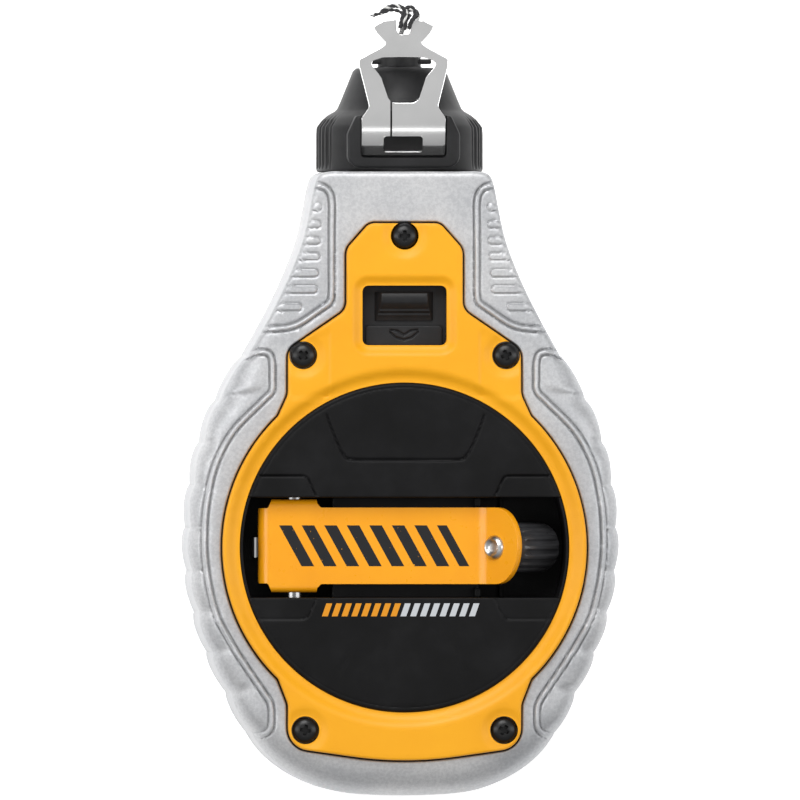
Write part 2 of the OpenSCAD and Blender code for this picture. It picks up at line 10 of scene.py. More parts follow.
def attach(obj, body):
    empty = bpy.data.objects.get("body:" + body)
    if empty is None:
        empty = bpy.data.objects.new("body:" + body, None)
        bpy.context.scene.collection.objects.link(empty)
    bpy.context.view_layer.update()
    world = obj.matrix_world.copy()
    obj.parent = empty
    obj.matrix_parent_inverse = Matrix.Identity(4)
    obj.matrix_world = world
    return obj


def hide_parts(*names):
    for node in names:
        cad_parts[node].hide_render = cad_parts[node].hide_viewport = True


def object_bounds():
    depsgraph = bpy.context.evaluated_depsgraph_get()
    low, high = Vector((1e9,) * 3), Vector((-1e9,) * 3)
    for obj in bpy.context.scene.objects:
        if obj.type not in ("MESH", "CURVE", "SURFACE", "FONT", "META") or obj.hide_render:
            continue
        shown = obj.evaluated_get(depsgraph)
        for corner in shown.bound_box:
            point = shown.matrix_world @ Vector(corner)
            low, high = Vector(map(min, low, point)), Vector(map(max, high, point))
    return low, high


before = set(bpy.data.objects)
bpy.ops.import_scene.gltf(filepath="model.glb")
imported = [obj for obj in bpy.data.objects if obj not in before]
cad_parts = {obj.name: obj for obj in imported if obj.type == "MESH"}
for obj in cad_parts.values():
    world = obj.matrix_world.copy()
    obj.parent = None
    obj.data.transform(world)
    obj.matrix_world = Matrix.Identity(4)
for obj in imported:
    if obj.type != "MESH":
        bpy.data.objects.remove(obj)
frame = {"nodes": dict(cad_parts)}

cad_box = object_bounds()
MM = 0.001  # shapes below are written in millimetres
rng = np.random.default_rng(7)


# ---- plan outlines ----

def unit(v):
    return v / (np.linalg.norm(v) + 1e-12)


def rounded(corners, n=6):
    """Closed outline from corners (x, y, radius)."""
    out = []
    for i, (x, y, r) in enumerate(corners):
        p, q, s = np.array(corners[i - 1][:2]), np.array([x,
                                                          y]), np.array(corners[(i + 1) % len(corners)][:2])
        if r == 0:
            out.append(q)
            continue
        a, b = unit(p - q), unit(s - q)
        half = math.acos(max(-1, min(1, float(a @ b)))) / 2
        c = q + unit(a + b) * r / math.sin(half)
        t0, t1 = q + a * r / math.tan(half) - c, q + b * r / math.tan(half) - c
        a0 = math.atan2(t0[1], t0[0])
        turn = (math.atan2(t1[1], t1[0]) - a0 + math.pi) % (2 * math.pi) - math.pi
        for k in range(n + 1):
            t = a0 + turn * k / n
            out.append(c + r * np.array([math.cos(t), math.sin(t)]))
    return np.array(out)


def box_outline(x0, x1, y0, y1, r, steps):
    """Rectangle with its corners rounded by r."""
    return rounded([(x0, y0, r), (x1, y0, r), (x1, y1, r), (x0, y1, r)], steps)


def both_sides(corners):
    return corners + [(-c[0], *c[1:]) for c in corners[::-1] if c[0] > 0]


def resample(points, step, closed=True):
    p = np.array(points, float)
    if closed:
        p = np.vstack([p, p[:1]])
    seg = np.hypot(*np.diff(p, axis=0).T)
    keep = np.r_[True, seg > 1e-9]
    p = p[keep]
    s = np.r_[0, np.cumsum(np.hypot(*np.diff(p, axis=0).T))]
    n = max(3, round(s[-1] / step))
    t = np.linspace(0, s[-1], n + 1)
    q = np.c_[np.interp(t, s, p[:, 0]), np.interp(t, s, p[:, 1])]
    return q[:-1] if closed else q


def spline(points, per=12, closed=False):
    """Catmull-Rom curve through the points."""
    p = np.array(points, float)
    n = len(p)
    out = []
    for i in range(n if closed else n - 1):
        idx = [(i + k) % n if closed else min(n - 1, max(0, i + k)) for k in (-1, 0, 1, 2)]
        a, b, c, d = p[idx]
        for t in np.linspace(0, 1, per, endpoint=False):
            out.append(0.5 * ((2 * b) + (c - a) * t + (2 * a - 5 * b + 4 * c - d) * t**2
                              + (3 * b - a - 3 * c + d) * t**3))
    if not closed:
        out.append(p[-1])
    return np.array(out)


def normals(p):
    t = np.roll(p, -1, 0) - np.roll(p, 1, 0)
    t /= np.linalg.norm(t, axis=1)[:, None]
    return np.c_[-t[:, 1], t[:, 0]]  # left of the direction of travel: inward for a counter-clockwise outline


def inset(p, d):
    return p + normals(p) * d


def distance(q, line, closed=True):
    """Distance of each point of q to a line of points."""
    a = np.array(line, float)
    b = np.roll(a, -1, 0) if closed else a[1:]
    a = a if closed else a[:-1]
    q = np.atleast_2d(q)
    out = np.full(len(q), 1e9)
    for k in range(0, len(q), 4000):
        w = q[k:k + 4000, None, :]
        ab = b - a
        t = np.clip(((w - a) * ab).sum(-1) / ((ab**2).sum(-1) + 1e-12), 0, 1)
        out[k:k + 4000] = np.sqrt((((w - a) - ab * t[..., None])**2).sum(-1).min(1))
    return out


def inside(q, poly):
    q, p = np.atleast_2d(q), np.array(poly)
    x, y = q[:, 0], q[:, 1]
    c = np.zeros(len(q), bool)
    for (x0, y0), (x1, y1) in zip(p, np.roll(p, -1, 0)):
        if y0 != y1:
            c ^= ((y0 > y) != (y1 > y)) & (x < (x1 - x0) * (y - y0) / (y1 - y0) + x0)
    return c


def smoothstep(x, a, b):
    t = np.clip((x - a) / (b - a), 0, 1)
    return t * t * (3 - 2 * t)


def circle(r, n=96, cx=0.0, cy=0.0):
    t = np.linspace(0, 2 * math.pi, n, endpoint=False)
    return np.c_[cx + r * np.cos(t), cy + r * np.sin(t)]


# ---- meshes ----

def finish_mesh(name, verts, faces, body, slot, mat, replaces=(), smooth=40, scale=MM):
    me = bpy.data.meshes.new(name)
    me.from_pydata([tuple(v) for v in np.array(verts, float) * scale], [],
                   [tuple(int(i) for i in f) for f in faces])
    bm = bmesh.new()
    bm.from_mesh(me)
    bmesh.ops.remove_doubles(bm, verts=bm.verts, dist=0.00001)
    bmesh.ops.recalc_face_normals(bm, faces=bm.faces)
    bm.to_mesh(me)
    bm.free()
    ob = bpy.data.objects.new(name, me)
    bpy.context.collection.objects.link(ob)
    return dress(ob, body, mat, replaces, smooth)


def dress(ob, body, mat, replaces=(), smooth=40):
    if ob.type == "MESH":
        me = ob.data
        me.materials.clear()
        me.materials.append(mat)
        me.polygons.foreach_set("use_smooth", [True] * len(me.polygons))
        me.set_sharp_from_angle(angle=math.radians(smooth))
    else:
        ob.data.materials.append(mat)
    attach(ob, body)
    if replaces:
        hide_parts(*replaces)
    return ob


def apply_modifiers(ob):
    dg = bpy.context.evaluated_depsgraph_get()
    me = bpy.data.meshes.new_from_object(ob.evaluated_get(dg))
    ob.modifiers.clear()
    ob.data = me
    return ob


def cut(ob, cutters, operation="DIFFERENCE"):
    """Boolean with plain helper meshes, which are then removed."""
    for c in cutters:
        m = ob.modifiers.new("cut", "BOOLEAN")
        m.operation, m.object, m.solver = operation, c, "EXACT"
    apply_modifiers(ob)
    for c in cutters:
        bpy.data.objects.remove(c)
    return ob


def raw(verts, faces):
    me = bpy.data.meshes.new("helper")
    me.from_pydata([tuple(v) for v in np.array(verts, float) * MM], [],
                   [tuple(int(i) for i in f) for f in faces])
    bm = bmesh.new()
    bm.from_mesh(me)
    bmesh.ops.remove_doubles(bm, verts=bm.verts, dist=0.000001)
    bmesh.ops.recalc_face_normals(bm, faces=bm.faces)
    bm.to_mesh(me)
    bm.free()
    ob = bpy.data.objects.new("helper", me)
    bpy.context.collection.objects.link(ob)
    return ob


def loft(rings, cap_first=True, cap_last=True):
    """Vertices and faces through rings of equally many 3D points."""
    n = len(rings[0])
    verts = np.vstack(rings)
    faces = []
    for j in range(len(rings) - 1):
        for i in range(n):
            a, b = j * n + i, j * n + (i + 1) % n
            faces.append((a, b, b + n, a + n))
    if cap_first:
        faces.append(tuple(range(n))[::-1])
    if cap_last:
        faces.append(tuple((len(rings) - 1) * n + i for i in range(n)))
    return verts, faces


def at_z(p, z):
    return np.c_[p, np.full(len(p), float(z))]


def slab(outline, z0, z1, r=0.4, steps=4, bottom=None):
    """Rings of a plate with rounded top and bottom edges."""
    rings = []
    rb = r if bottom is None else bottom
    for k in range(steps + 1):
        t = k / steps * math.pi / 2
        if rb > 0:
            rings.append(at_z(inset(outline, rb * (1 - math.sin(t))), z0 + rb * (1 - math.cos(t))))
    for k in range(steps + 1):
        t = k / steps * math.pi / 2
        rings.append(at_z(inset(outline, r * (1 - math.cos(t))), z1 - r * (1 - math.sin(t))))
    if rb == 0:
        rings.insert(0, at_z(outline, z0))
    return loft(rings)


def box_mesh(x0, x1, y0, y1, z0, z1, r=0.3):
    p = resample(box_outline(x0, x1, y0, y1, r * 1.2, 4), 0.5)
    return slab(p, z0, z1, r)


def merge(*parts):
    verts, faces, k = [], [], 0
    for v, f in parts:
        verts.append(np.array(v, float))
        faces += [tuple(i + k for i in q) for q in f]
        k += len(v)
    return np.vstack(verts), faces


def lathe(profile, n=96, ripple=None):
    """Turned shape about local Z from (radius, z) points; ripple(angle, radius, z) gives the real radius."""
    rings = []
    t = np.linspace(0, 2 * math.pi, n, endpoint=False)
    for r, z in profile:
        rr = np.full(n, float(r)) if ripple is None else ripple(t, r, z)
        rings.append(np.c_[rr * np.cos(t), rr * np.sin(t), np.full(n, float(z))])
    return loft(rings, cap_first=profile[0][0] > 0, cap_last=profile[-1][0] > 0)


def placed(vf, matrix):
    v = np.c_[vf[0], np.ones(len(vf[0]))] @ np.array(matrix).T
    return v[:, :3], vf[1]


def field(outer, holes, coarse, height, z_wall=None, fine=None, near=None, rims=(0.08, 0.2, 0.38, 0.6),
          edge=0.5,
          exact=False):
    """Surface seen from above: a dense triangle net inside outer and outside holes, raised by height(points),
    with walls from its edges down to z_wall."""
    loops = [np.array(outer) if exact else resample(outer, edge)] + [resample(h, edge) for h in holes]
    ccw = [(p[:, 0] * np.roll(p[:, 1], -1) - p[:, 1] * np.roll(p[:, 0], -1)).sum() > 0 for p in loops]
    loops = [p if c else p[::-1] for p, c in zip(loops, ccw)]
    lo, hi = loops[0].min(0), loops[0].max(0)

    def grid(step):
        xs = np.arange(lo[0], hi[0], step)
        ys = np.arange(lo[1], hi[1], step * 0.87)
        gx, gy = np.meshgrid(xs, ys)
        gx[1::2] += step / 2
        return np.c_[gx.ravel(), gy.ravel()]

    def keep(p, gap):
        ok = inside(p, loops[0])
        for h in loops[1:]:
            ok &= ~inside(p, h)
        p = p[ok]
        d = np.min([distance(p, l) for l in loops], axis=0)
        return p[d > gap]

    pts = keep(grid(coarse), (rims[-1] if rims else 0) + coarse * 0.6)
    if near is not None:
        g = keep(grid(fine), (rims[-1] if rims else 0) + fine * 0.6)
        g = g[near(g)]
        pts = np.vstack([pts[~near(pts)], g])
    for r in rims:
        for k, l in enumerate(loops):
            pts = np.vstack([pts, keep(inset(l, r if k == 0 else -r), r * 0.97)])
    verts = [Vector(p) for l in loops for p in l] + [Vector(p) for p in pts]
    edges, k = [], 0
    for l in loops:
        edges += [(k + i, k + (i + 1) % len(l)) for i in range(len(l))]
        k += len(l)
    v2, _, f2, *_ = delaunay_2d_cdt(verts, edges, [], 1, 1e-6)
    v2 = np.array([tuple(v) for v in v2])
    f2 = np.array([tuple(f) for f in f2 if len(f) == 3])
    mid = v2[f2].mean(1)
    good = np.ones(len(f2), bool)
    for h in loops[1:]:
        good &= ~inside(mid, h)
    f2 = f2[good]
    z = height(v2)
    verts = np.c_[v2, z]
    faces = [tuple(f) for f in f2]
    if z_wall is not None:
        count = {}
        for a, b, c in f2:
            for e in ((a, b), (b, c), (c, a)):
                count[e] = 1
        rim = [e for e in count if (e[1], e[0]) not in count]
        low, base = {}, len(verts)
        extra = []
        for e in rim:
            for i in e:
                if i not in low:
                    low[i] = base + len(extra)
                    extra.append((*v2[i], z_wall))
        verts = np.vstack([verts, extra])
        faces += [(b, a, low[a], low[b]) for a, b in rim]
    return verts, faces


def groove(d, width, depth):
    return -depth * np.exp(-(d / width)**2)


def edge_drop(d, r):
    """How far a rounded edge of radius r has fallen at distance d from it."""
    t = 1 - np.clip(d / r, 0, 1)
    return r * (1 - np.sqrt(np.clip(1 - t * t, 0, 1)))


# ---- materials ----

class Nodes:
    def __init__(self, name):
        self.mat = bpy.data.materials.new(name)
        self.mat.use_nodes = True
        self.tree = self.mat.node_tree
        self.shader = self.tree.nodes["Principled BSDF"]
        self.coords = self.tree.nodes.new("ShaderNodeTexCoord")

    def node(self, kind, **values):
        n = self.tree.nodes.new(kind)
        for k, v in values.items():
            if hasattr(n, k):
                setattr(n, k, v)
            else:
                n.inputs[k.replace("_", " ")].default_value = v
        return n

    def link(self, a, b):
        self.tree.links.new(a, b)
        return b

    def scaled(self, scale):
        m = self.node("ShaderNodeMapping")
        m.inputs["Scale"].default_value = scale
        self.link(self.coords.outputs["Object"], m.inputs["Vector"])
        return m.outputs["Vector"]

    def noise(self, scale, detail=4.0, rough=0.55, vector=None):
        n = self.node("ShaderNodeTexNoise", Scale=scale, Detail=detail, Roughness=rough)
        self.link(vector if vector else self.coords.outputs["Object"], n.inputs["Vector"])
        return n.outputs["Fac"]

    def ramp(self, fac, stops):
        r = self.node("ShaderNodeValToRGB")
        while len(r.color_ramp.elements) < len(stops):
            r.color_ramp.elements.new(0.5)
        for e, (pos, col) in zip(r.color_ramp.elements, stops):
            e.position = pos
            e.color = col if len(col) == 4 else (*col, 1)
        self.link(fac, r.inputs["Fac"])
        return r.outputs["Color"]

    def span(self, fac, a, b, lo=0.0, hi=1.0):
        m = self.node("ShaderNodeMapRange")
        for k, v in (("From Min", lo), ("From Max", hi), ("To Min", a), ("To Max", b)):
            m.inputs[k].default_value = v
        self.link(fac, m.inputs["Value"])
        return m.outputs["Result"]

    def math(self, op, a, b=None, c=None):
        m = self.node("ShaderNodeMath", operation=op)
        for k, v in enumerate((a, b, c)):
            if v is None:
                continue
            if isinstance(v, (int, float)):
                m.inputs[k].default_value = v
            else:
                self.link(v, m.inputs[k])
        return m.outputs["Value"]

    def mix(self, fac, a, b):
        m = self.node("ShaderNodeMix", data_type="RGBA")
        for k, v in ((0, fac), (6, a), (7, b)):
            if isinstance(v, tuple):
                m.inputs[k].default_value = (*v, 1)
            elif isinstance(v, (int, float)):
                m.inputs[k].default_value = v
            else:
                self.link(v, m.inputs[k])
        return m.outputs[2]

    def bump(self, *layers):
        """layers: (height, strength, distance in mm)"""
        prev = None
        for height, strength, dist in layers:
            b = self.node("ShaderNodeBump", Strength=strength, Distance=dist * MM)
            self.link(height, b.inputs["Height"])
            if prev:
                self.link(prev, b.inputs["Normal"])
            prev = b.outputs["Normal"]
        self.link(prev, self.shader.inputs["Normal"])

    def set(self, **values):
        for k, v in values.items():
            s = self.shader.inputs[k.replace("_", " ")]
            if isinstance(v, (int, float)):
                s.default_value = v
            elif isinstance(v, tuple):
                s.default_value = (*v, 1) if len(v) == 3 else v
            else:
                self.link(v, s)
        return self.mat


def worn(n, base, light, dark, scale=60.0):
    """Colour that drifts gently between two shades of the base."""
    f = n.noise(scale, 5.0, 0.6)
    return n.ramp(f, [(0.3, dark), (0.5, base), (0.72, light)])


def cast_aluminium():
    n = Nodes("cast_aluminium")
    cloud = n.noise(34.0, 6.0, 0.6)
    speck = n.noise(1300.0, 3.0, 0.7)
    base = n.ramp(cloud, [(0.3, (0.46, 0.47, 0.485)), (0.5, (0.525, 0.53, 0.54)), (0.72, (0.61, 0.61, 0.61))])
    fleck = n.ramp(speck, [(0.4, (0.82, 0.82, 0.83)), (0.6, (1.0, 1.0, 1.0))])
    mul = n.node("ShaderNodeMix", data_type="RGBA", blend_type="MULTIPLY")
    mul.inputs[0].default_value = 0.8
    n.link(base, mul.inputs[6])
    n.link(fleck, mul.inputs[7])
    # painted shade: a pointiness ramp multiplies the base colour, darkening the concave grooves and creases
    # where shade falls and lightening sharp convex edges
    geo = n.node("ShaderNodeNewGeometry")
    painted_groove_shade_light_edges = n.ramp(geo.outputs["Pointiness"], [(0.40, (0.30, 0.29, 0.28)), (0.485, (1.0, 1.0, 1.0)),
                                              (0.53, (1.0, 1.0, 1.0)), (0.62, (1.25, 1.25, 1.25))])
    groove_shaded_colour = n.node("ShaderNodeMix", data_type="RGBA", blend_type="MULTIPLY")
    groove_shaded_colour.inputs[0].default_value = 1.0
    n.link(mul.outputs[2], groove_shaded_colour.inputs[6])
    n.link(painted_groove_shade_light_edges, groove_shaded_colour.inputs[7])
    n.bump((n.noise(700.0, 4.0, 0.6), 0.14, 0.12), (speck, 0.2, 0.06))
    return n.set(Base_Color=groove_shaded_colour.outputs[2], Metallic=0.55, Roughness=n.span(cloud, 0.42, 0.56))


def yellow_plastic():
    n = Nodes("yellow_plastic")
    col = worn(n, (0.820, 0.360, 0.004), (0.850, 0.385, 0.006), (0.785, 0.335, 0.003), 35.0)
    grain = n.noise(1500.0, 2.0, 0.5)
    n.bump((grain, 0.10, 0.05), (n.noise(120.0, 3.0), 0.03, 0.3))
    return n.set(Base_Color=col, Roughness=n.span(n.noise(300.0), 0.38, 0.5), Specular_IOR_Level=0.35)


def arm_paint(box):
    """Enamel with a pad-printed row of slanted bars on the flat of the arm."""
    n = Nodes("arm_paint")
    col = worn(n, (0.850, 0.335, 0.004), (0.880, 0.365, 0.006), (0.810, 0.310, 0.003), 50.0)
    sep = n.node("ShaderNodeSeparateXYZ")
    n.link(n.coords.outputs["Object"], sep.inputs[0])
    x, y, z = sep.outputs
    x0, x1 = box
    slant = n.math("ADD", x, n.math("MULTIPLY", y, 0.55))
    bar = n.math("FRACT", n.math("DIVIDE", slant, 5.4 * MM))
    bars = n.math("LESS_THAN", bar, 0.56)
    tall = n.math("LESS_THAN", n.math("ABSOLUTE", n.math("ADD", y, -0.4 * MM)), 4.9 * MM)
    wide = n.math("MULTIPLY", n.math("GREATER_THAN", slant, x0 * MM), n.math("LESS_THAN", slant, x1 * MM))
    up = n.math("GREATER_THAN", z, 45.3 * MM)
    ink = n.math("MULTIPLY", n.math("MULTIPLY", bars, tall), n.math("MULTIPLY", wide, up))
    chips = n.math("GREATER_THAN", n.noise(1100.0, 3.0, 0.7), 0.3)
    ink = n.math("MULTIPLY", ink, chips)
    peel = n.noise(500.0, 2.0)
    n.bump((peel, 0.05, 0.12))
    return n.set(Base_Color=n.mix(ink, col, (0.008, 0.008, 0.009)), Roughness=n.span(peel, 0.24, 0.34),
                 Specular_IOR_Level=0.45)


def black_plastic(name="black_plastic", shade=0.009, rough=(0.42, 0.56), grain=0.3, gloss=0.2, printed=False):
    """Moulded black; printed adds two short rows of slanted ticks, one orange and one pale,
    beside the channel."""
    n = Nodes(name)
    s = shade
    col = worn(n, (s, s, s * 1.06), (s * 1.5, s * 1.5, s * 1.6), (s * 0.75, s * 0.75, s * 0.78), 90.0)
    fine = n.noise(2600.0, 2.0, 0.6)
    n.bump((fine, grain, 0.05), (n.noise(90.0, 3.0), 0.05, 0.3))
    if printed:
        sep = n.node("ShaderNodeSeparateXYZ")
        n.link(n.coords.outputs["Object"], sep.inputs[0])
        x, y, z = sep.outputs
        row = n.math("LESS_THAN", n.math("ABSOLUTE", n.math("ADD", y, 14.9 * MM)), 1.55 * MM)
        slant = n.math("ADD", x, n.math("MULTIPLY", y, -0.35))
        tick = n.math("LESS_THAN", n.math("FRACT", n.math("DIVIDE", slant, 2.35 * MM)), 0.6)
        span = n.math("LESS_THAN", n.math("ABSOLUTE", n.math("ADD", slant, -4.6 * MM)), 18.8 * MM)
        face = n.math("MULTIPLY", n.math("GREATER_THAN", z, 48.5 * MM), n.math("MULTIPLY", row, span))
        ink = n.math("MULTIPLY", face, tick)
        shade = n.mix(n.math("GREATER_THAN", slant, 4.7 * MM), (0.68, 0.27, 0.02), (0.50, 0.52, 0.54))
        col = n.mix(ink, col, shade)
    return n.set(Base_Color=col, Roughness=n.span(n.noise(400.0), *rough), Specular_IOR_Level=gloss)


def steel(name, shade, rough, brush=(1.0, 0.03, 1.0), strength=0.08, tint=1.0):
    n = Nodes(name)
    lines = n.noise(1800.0, 3.0, 0.6, n.scaled(brush))
    cloud = n.noise(70.0, 4.0)
    s = shade
    col = n.ramp(cloud, [(0.3, (s * 0.9, s * 0.9 * tint, s * 0.9 * tint)), (0.7, (s, s * tint, s * tint))])
    n.bump((lines, strength, 0.06))
    return n.set(Base_Color=col, Metallic=1.0, Roughness=n.span(lines, *rough))


def brass():
    n = Nodes("brass")
    lines = n.noise(1500.0, 3.0, 0.6)
    col = n.ramp(n.noise(200.0), [(0.3, (0.50, 0.32, 0.10)), (0.7, (0.68, 0.46, 0.17))])
    n.bump((lines, 0.1, 0.05))
    return n.set(Base_Color=col, Metallic=1.0, Roughness=n.span(lines, 0.3, 0.45))


def felt():
    n = Nodes("felt")
    fibre = n.noise(2200.0, 6.0, 0.75, n.scaled((1.0, 0.4, 1.0)))
    col = n.ramp(fibre, [(0.3, (0.42, 0.40, 0.35)), (0.7, (0.70, 0.68, 0.61))])
    n.bump((fibre, 0.9, 0.3))
    return n.set(Base_Color=col, Roughness=0.95, Sheen_Weight=0.4, Sheen_Roughness=0.5)


def nylon():
    n = Nodes("gear_plastic")
    col = worn(n, (0.62, 0.56, 0.43), (0.68, 0.62, 0.50), (0.56, 0.50, 0.38), 80.0)
    n.bump((n.noise(1200.0), 0.12, 0.05))
    return n.set(Base_Color=col, Roughness=n.span(n.noise(260.0), 0.35, 0.5), Subsurface_Weight=0.08,
                 Subsurface_Scale=0.001)


def rubber():
    n = Nodes("black_rubber")
    col = worn(n, (0.012, 0.011, 0.011), (0.02, 0.019, 0.018), (0.007, 0.007, 0.007), 200.0)
    n.bump((n.noise(1500.0), 0.3, 0.05))
    return n.set(Base_Color=col, Roughness=n.span(n.noise(500.0), 0.7, 0.85))


def yarn(name, dark, light):
    n = Nodes(name)
    fibre = n.noise(5200.0, 4.0, 0.7)
    col = n.ramp(fibre, [(0.3, dark), (0.7, light)])
    n.bump((fibre, 0.6, 0.08))
    return n.set(Base_Color=col, Roughness=0.85, Sheen_Weight=0.3)


M_CASE = cast_aluminium()
M_YELLOW = yellow_plastic()
M_ARM = arm_paint((-27.0, 13.2))
M_DISC = black_plastic("disc_plastic", 0.0065, (0.40, 0.52), 0.3, 0.12, True)
M_BLACK = black_plastic()
M_CAP = black_plastic("cap_plastic", 0.013, (0.38, 0.5), 0.2, 0.25)
M_KNOB = black_plastic("knob_plastic", 0.04, (0.24, 0.34), 0.08, 0.5)
M_SCREW = black_plastic("black_steel", 0.006, (0.26, 0.38), 0.1, 0.35)
M_PIN = steel("dark_steel", 0.3, (0.2, 0.3))
M_STEEL = steel("plain_steel", 0.62, (0.24, 0.38))
M_HOOK = steel("stainless_steel", 0.90, (0.12, 0.22), (1.0, 0.06, 1.0), 0.03)
M_BRASS = brass()
M_FELT = felt()
M_NYLON = nylon()
M_RUBBER = rubber()
M_YARN_B = yarn("yarn_black", (0.006, 0.006, 0.007), (0.03, 0.03, 0.032))
M_YARN_W = yarn("yarn_white", (0.45, 0.45, 0.44), (0.78, 0.78, 0.76))
M_LINE = yarn("braided_line", (0.40, 0.40, 0.39), (0.72, 0.72, 0.70))

CARRIED = {
    M_PIN: ["crank_pin"],
    M_STEEL: ["carrier_plate", "detent_spring", "planet_pins", "thrust_washers", "gear_plate",
              "spool_axle", "line_eyelet"],
    M_SCREW: ["carrier_screws", "gear_plate_screws"],
    M_NYLON: ["ring_gear", "planet_gear_1", "planet_gear_2", "planet_gear_3"],
    M_BRASS: ["sun_gear"],
    M_FELT: ["hub_felt", "line_wiper"],
    M_BLACK: ["spool"],
    M_LINE: ["line_winding", "line_run"],
    M_RUBBER: ["cap_seal"],
}
for mat, names in CARRIED.items():
    for name in names:
        ob = frame["nodes"][name] if isinstance(frame["nodes"], dict) else bpy.data.objects[name]
        ob.data.materials.clear()
        ob.data.materials.append(mat)
        ob.data.set_sharp_from_angle(angle=math.radians(35))


# ---- shared outlines ----

COVER = rounded(both_sides(
    [(0, -52, 89), (28.1, -48, 5.5), (28.1, -37.5, 4)]
    + [(43.8 * math.cos(t), 43.8 * math.sin(t), 0) for t in np.radians(np.linspace(-46, 46, 60))]
    + [(28.1, 36.6, 4), (28.1, 47.4, 4), (14.1, 57, 3.5), (14.1, 71.5, 4), (8.5, 77.8, 3)]), 10)
COVER = inset(resample(COVER, 0.4), 0.2)
OPENING = inset(COVER, -0.42)

SIDE = [(0, -59.4), (14, -58.7), (22.5, -56.3), (30, -51.9), (35.4, -46.0), (41.1, -35.2), (46.3, -24.0),
        (49.7, -12), (51.1, 0), (50.4, 12), (48.1, 24), (43.7, 35.6), (36.7, 47.2), (30.8, 58), (27.1, 66),
        (24.3, 73.5), (22.6, 81), (21.6, 86.2), (20.4, 89.1), (17.6, 90.0), (12, 90.0)]
BASE_SIDE = resample(spline([p for p in SIDE] + [(-x, y) for x, y in SIDE[::-1] if x > 0], 14, True), 0.45)
CREASES = [46.1, 35.3, 25.2, 15.1, 4.7, -5.8, -15.6, -25.2, -35.0, -44.9]


def bulge(p):
    """How far the grip's scallops stand out at each point of the side."""
    y = p[:, 1]
    out = np.zeros(len(p))
    for hi, lo in zip(CREASES, CREASES[1:]):
        m = (y <= hi) & (y > lo)
        t = (hi - y[m]) / (hi - lo)
        out[m] = 0.78 * np.sin(np.pi * t**0.75)**0.8 - 0.2
    return out


SILHOUETTE = BASE_SIDE - normals(BASE_SIDE) * bulge(BASE_SIDE)[:, None]


def mirrored_x(q):
    return np.c_[np.abs(q[:, 0]), q[:, 1]]


LOWER = spline([(37.8, 45.6), (35.0, 46.7), (32.6, 46.4), (31.7, 44.6), (31.6, 40.5), (31.8, 37.4),
                (34.2, 34.8),
                (41.0, 27.8), (45.2, 19.9), (47.3, 10.8), (47.9, 1.7), (47.3, -6.2), (45.2, -15.6),
                (41.6, -22.8), (37.3, -29.5), (33.8, -34.6), (32.1, -37.5), (31.8, -41.0), (32.2, -43.6),
                (34.0, -44.9), (37.5, -45.2)], 10)
UPPER = spline([(22.4, 86.6), (20.2, 86.5), (18.3, 85.4), (17.4, 82.8), (17.4, 76), (17.4, 68), (17.4, 61.2),
                (17.9, 58.7), (20.2, 56.9), (24.6, 53.9), (27.6, 52.7), (31, 52.3), (34.5, 52.1)], 10)
PILLS = [(81.4, 19.8, 21.2), (77.3, 19.9, 22.2), (73.4, 20.0, 23.4), (69.6, 20.2, 24.7), (65.6, 20.5, 26.3),
         (61.7, 20.8, 28.0), (57.5, 24.5, 29.6)]
Z_RIM = 48.0


def crown(s, y):
    """Height of the case's front at distance s in from its side: a tight edge along the neck, a broad
    shoulder round the grip and the foot."""
    r = np.interp(y, [-60, -47, -42, 40, 47, 56, 92], [9.5, 8.0, 7.0, 6.0, 3.0, 1.3, 1.3])
    t = 1 - np.clip(s / r, 0, 1)
    return Z_RIM - 0.85 * r * (1 - np.sqrt(np.clip(1 - t * t, 0, 1)))


def case_height(q):
    m = mirrored_x(q)
    z = crown(distance(q, SILHOUETTE), q[:, 1])
    dl, du = distance(m, LOWER, False), distance(m, UPPER, False)
    for d in (dl, du):
        z += groove(d - 0.74, 0.24, 0.6) + 0.2 * np.exp(-(d / 0.5)**4)
    # the panels outside the beads sit a little lower
    lower = (m[:, 1] < 46.2) & (m[:, 1] > -45) & inside(m, np.vstack([LOWER, [(60, -45.2), (60, 45.6)]]))
    upper = (m[:, 1] > 52.3) & (m[:, 1] < 86.5) & inside(m, np.vstack([UPPER, [(60, 52.1), (60, 86.6)]]))
    z -= 0.25 * smoothstep(dl, 0.5, 1.1) * lower + 0.3 * smoothstep(du, 0.5, 1.1) * upper
    for y, x0, x1 in PILLS:
        d = distance(m, [(x0 + 0.9, y), (x1 + 4, y)], False)
        z += (0.16 * (1 - smoothstep(d, 0.55, 0.85)) - 0.26 * np.exp(-((d - 0.95) / 0.2)**2)) * upper
    # each scallop of the grip is a facet that ends in a small step at the next crease
    for hi, lo in zip(CREASES, CREASES[1:]):
        y = m[:, 1] + 0.14 * (m[:, 0] - 48)
        t = (hi - y) / (hi - lo)
        on = lower * (t > 0) * (t <= 1) * smoothstep(dl, 1.0, 5.0)
        z += 0.75 * on * (t * smoothstep(1 - t, 0, 0.12) - 0.35)
    # small arch cast near the foot
    arch = [(1.7 * math.cos(t), -54.6 + 1.6 * math.sin(t)) for t in np.linspace(0, math.pi, 14)]
    arch = [(1.7, -57.4)] + arch + [(-1.7, -57.4)]
    z += groove(distance(q, arch, False), 0.16, 0.25)
    return z - edge_drop(distance(q, OPENING), 0.35)


def near_case_detail(q):
    m = mirrored_x(q)
    d = np.minimum(distance(m, LOWER[::3], False), distance(m, UPPER[::3], False))
    pills = (m[:, 1] > 56) & (m[:, 1] < 83) & (m[:, 0] > 18.2)
    return (d < 1.5) | pills | (distance(q, SILHOUETTE[::3]) < 2.2)


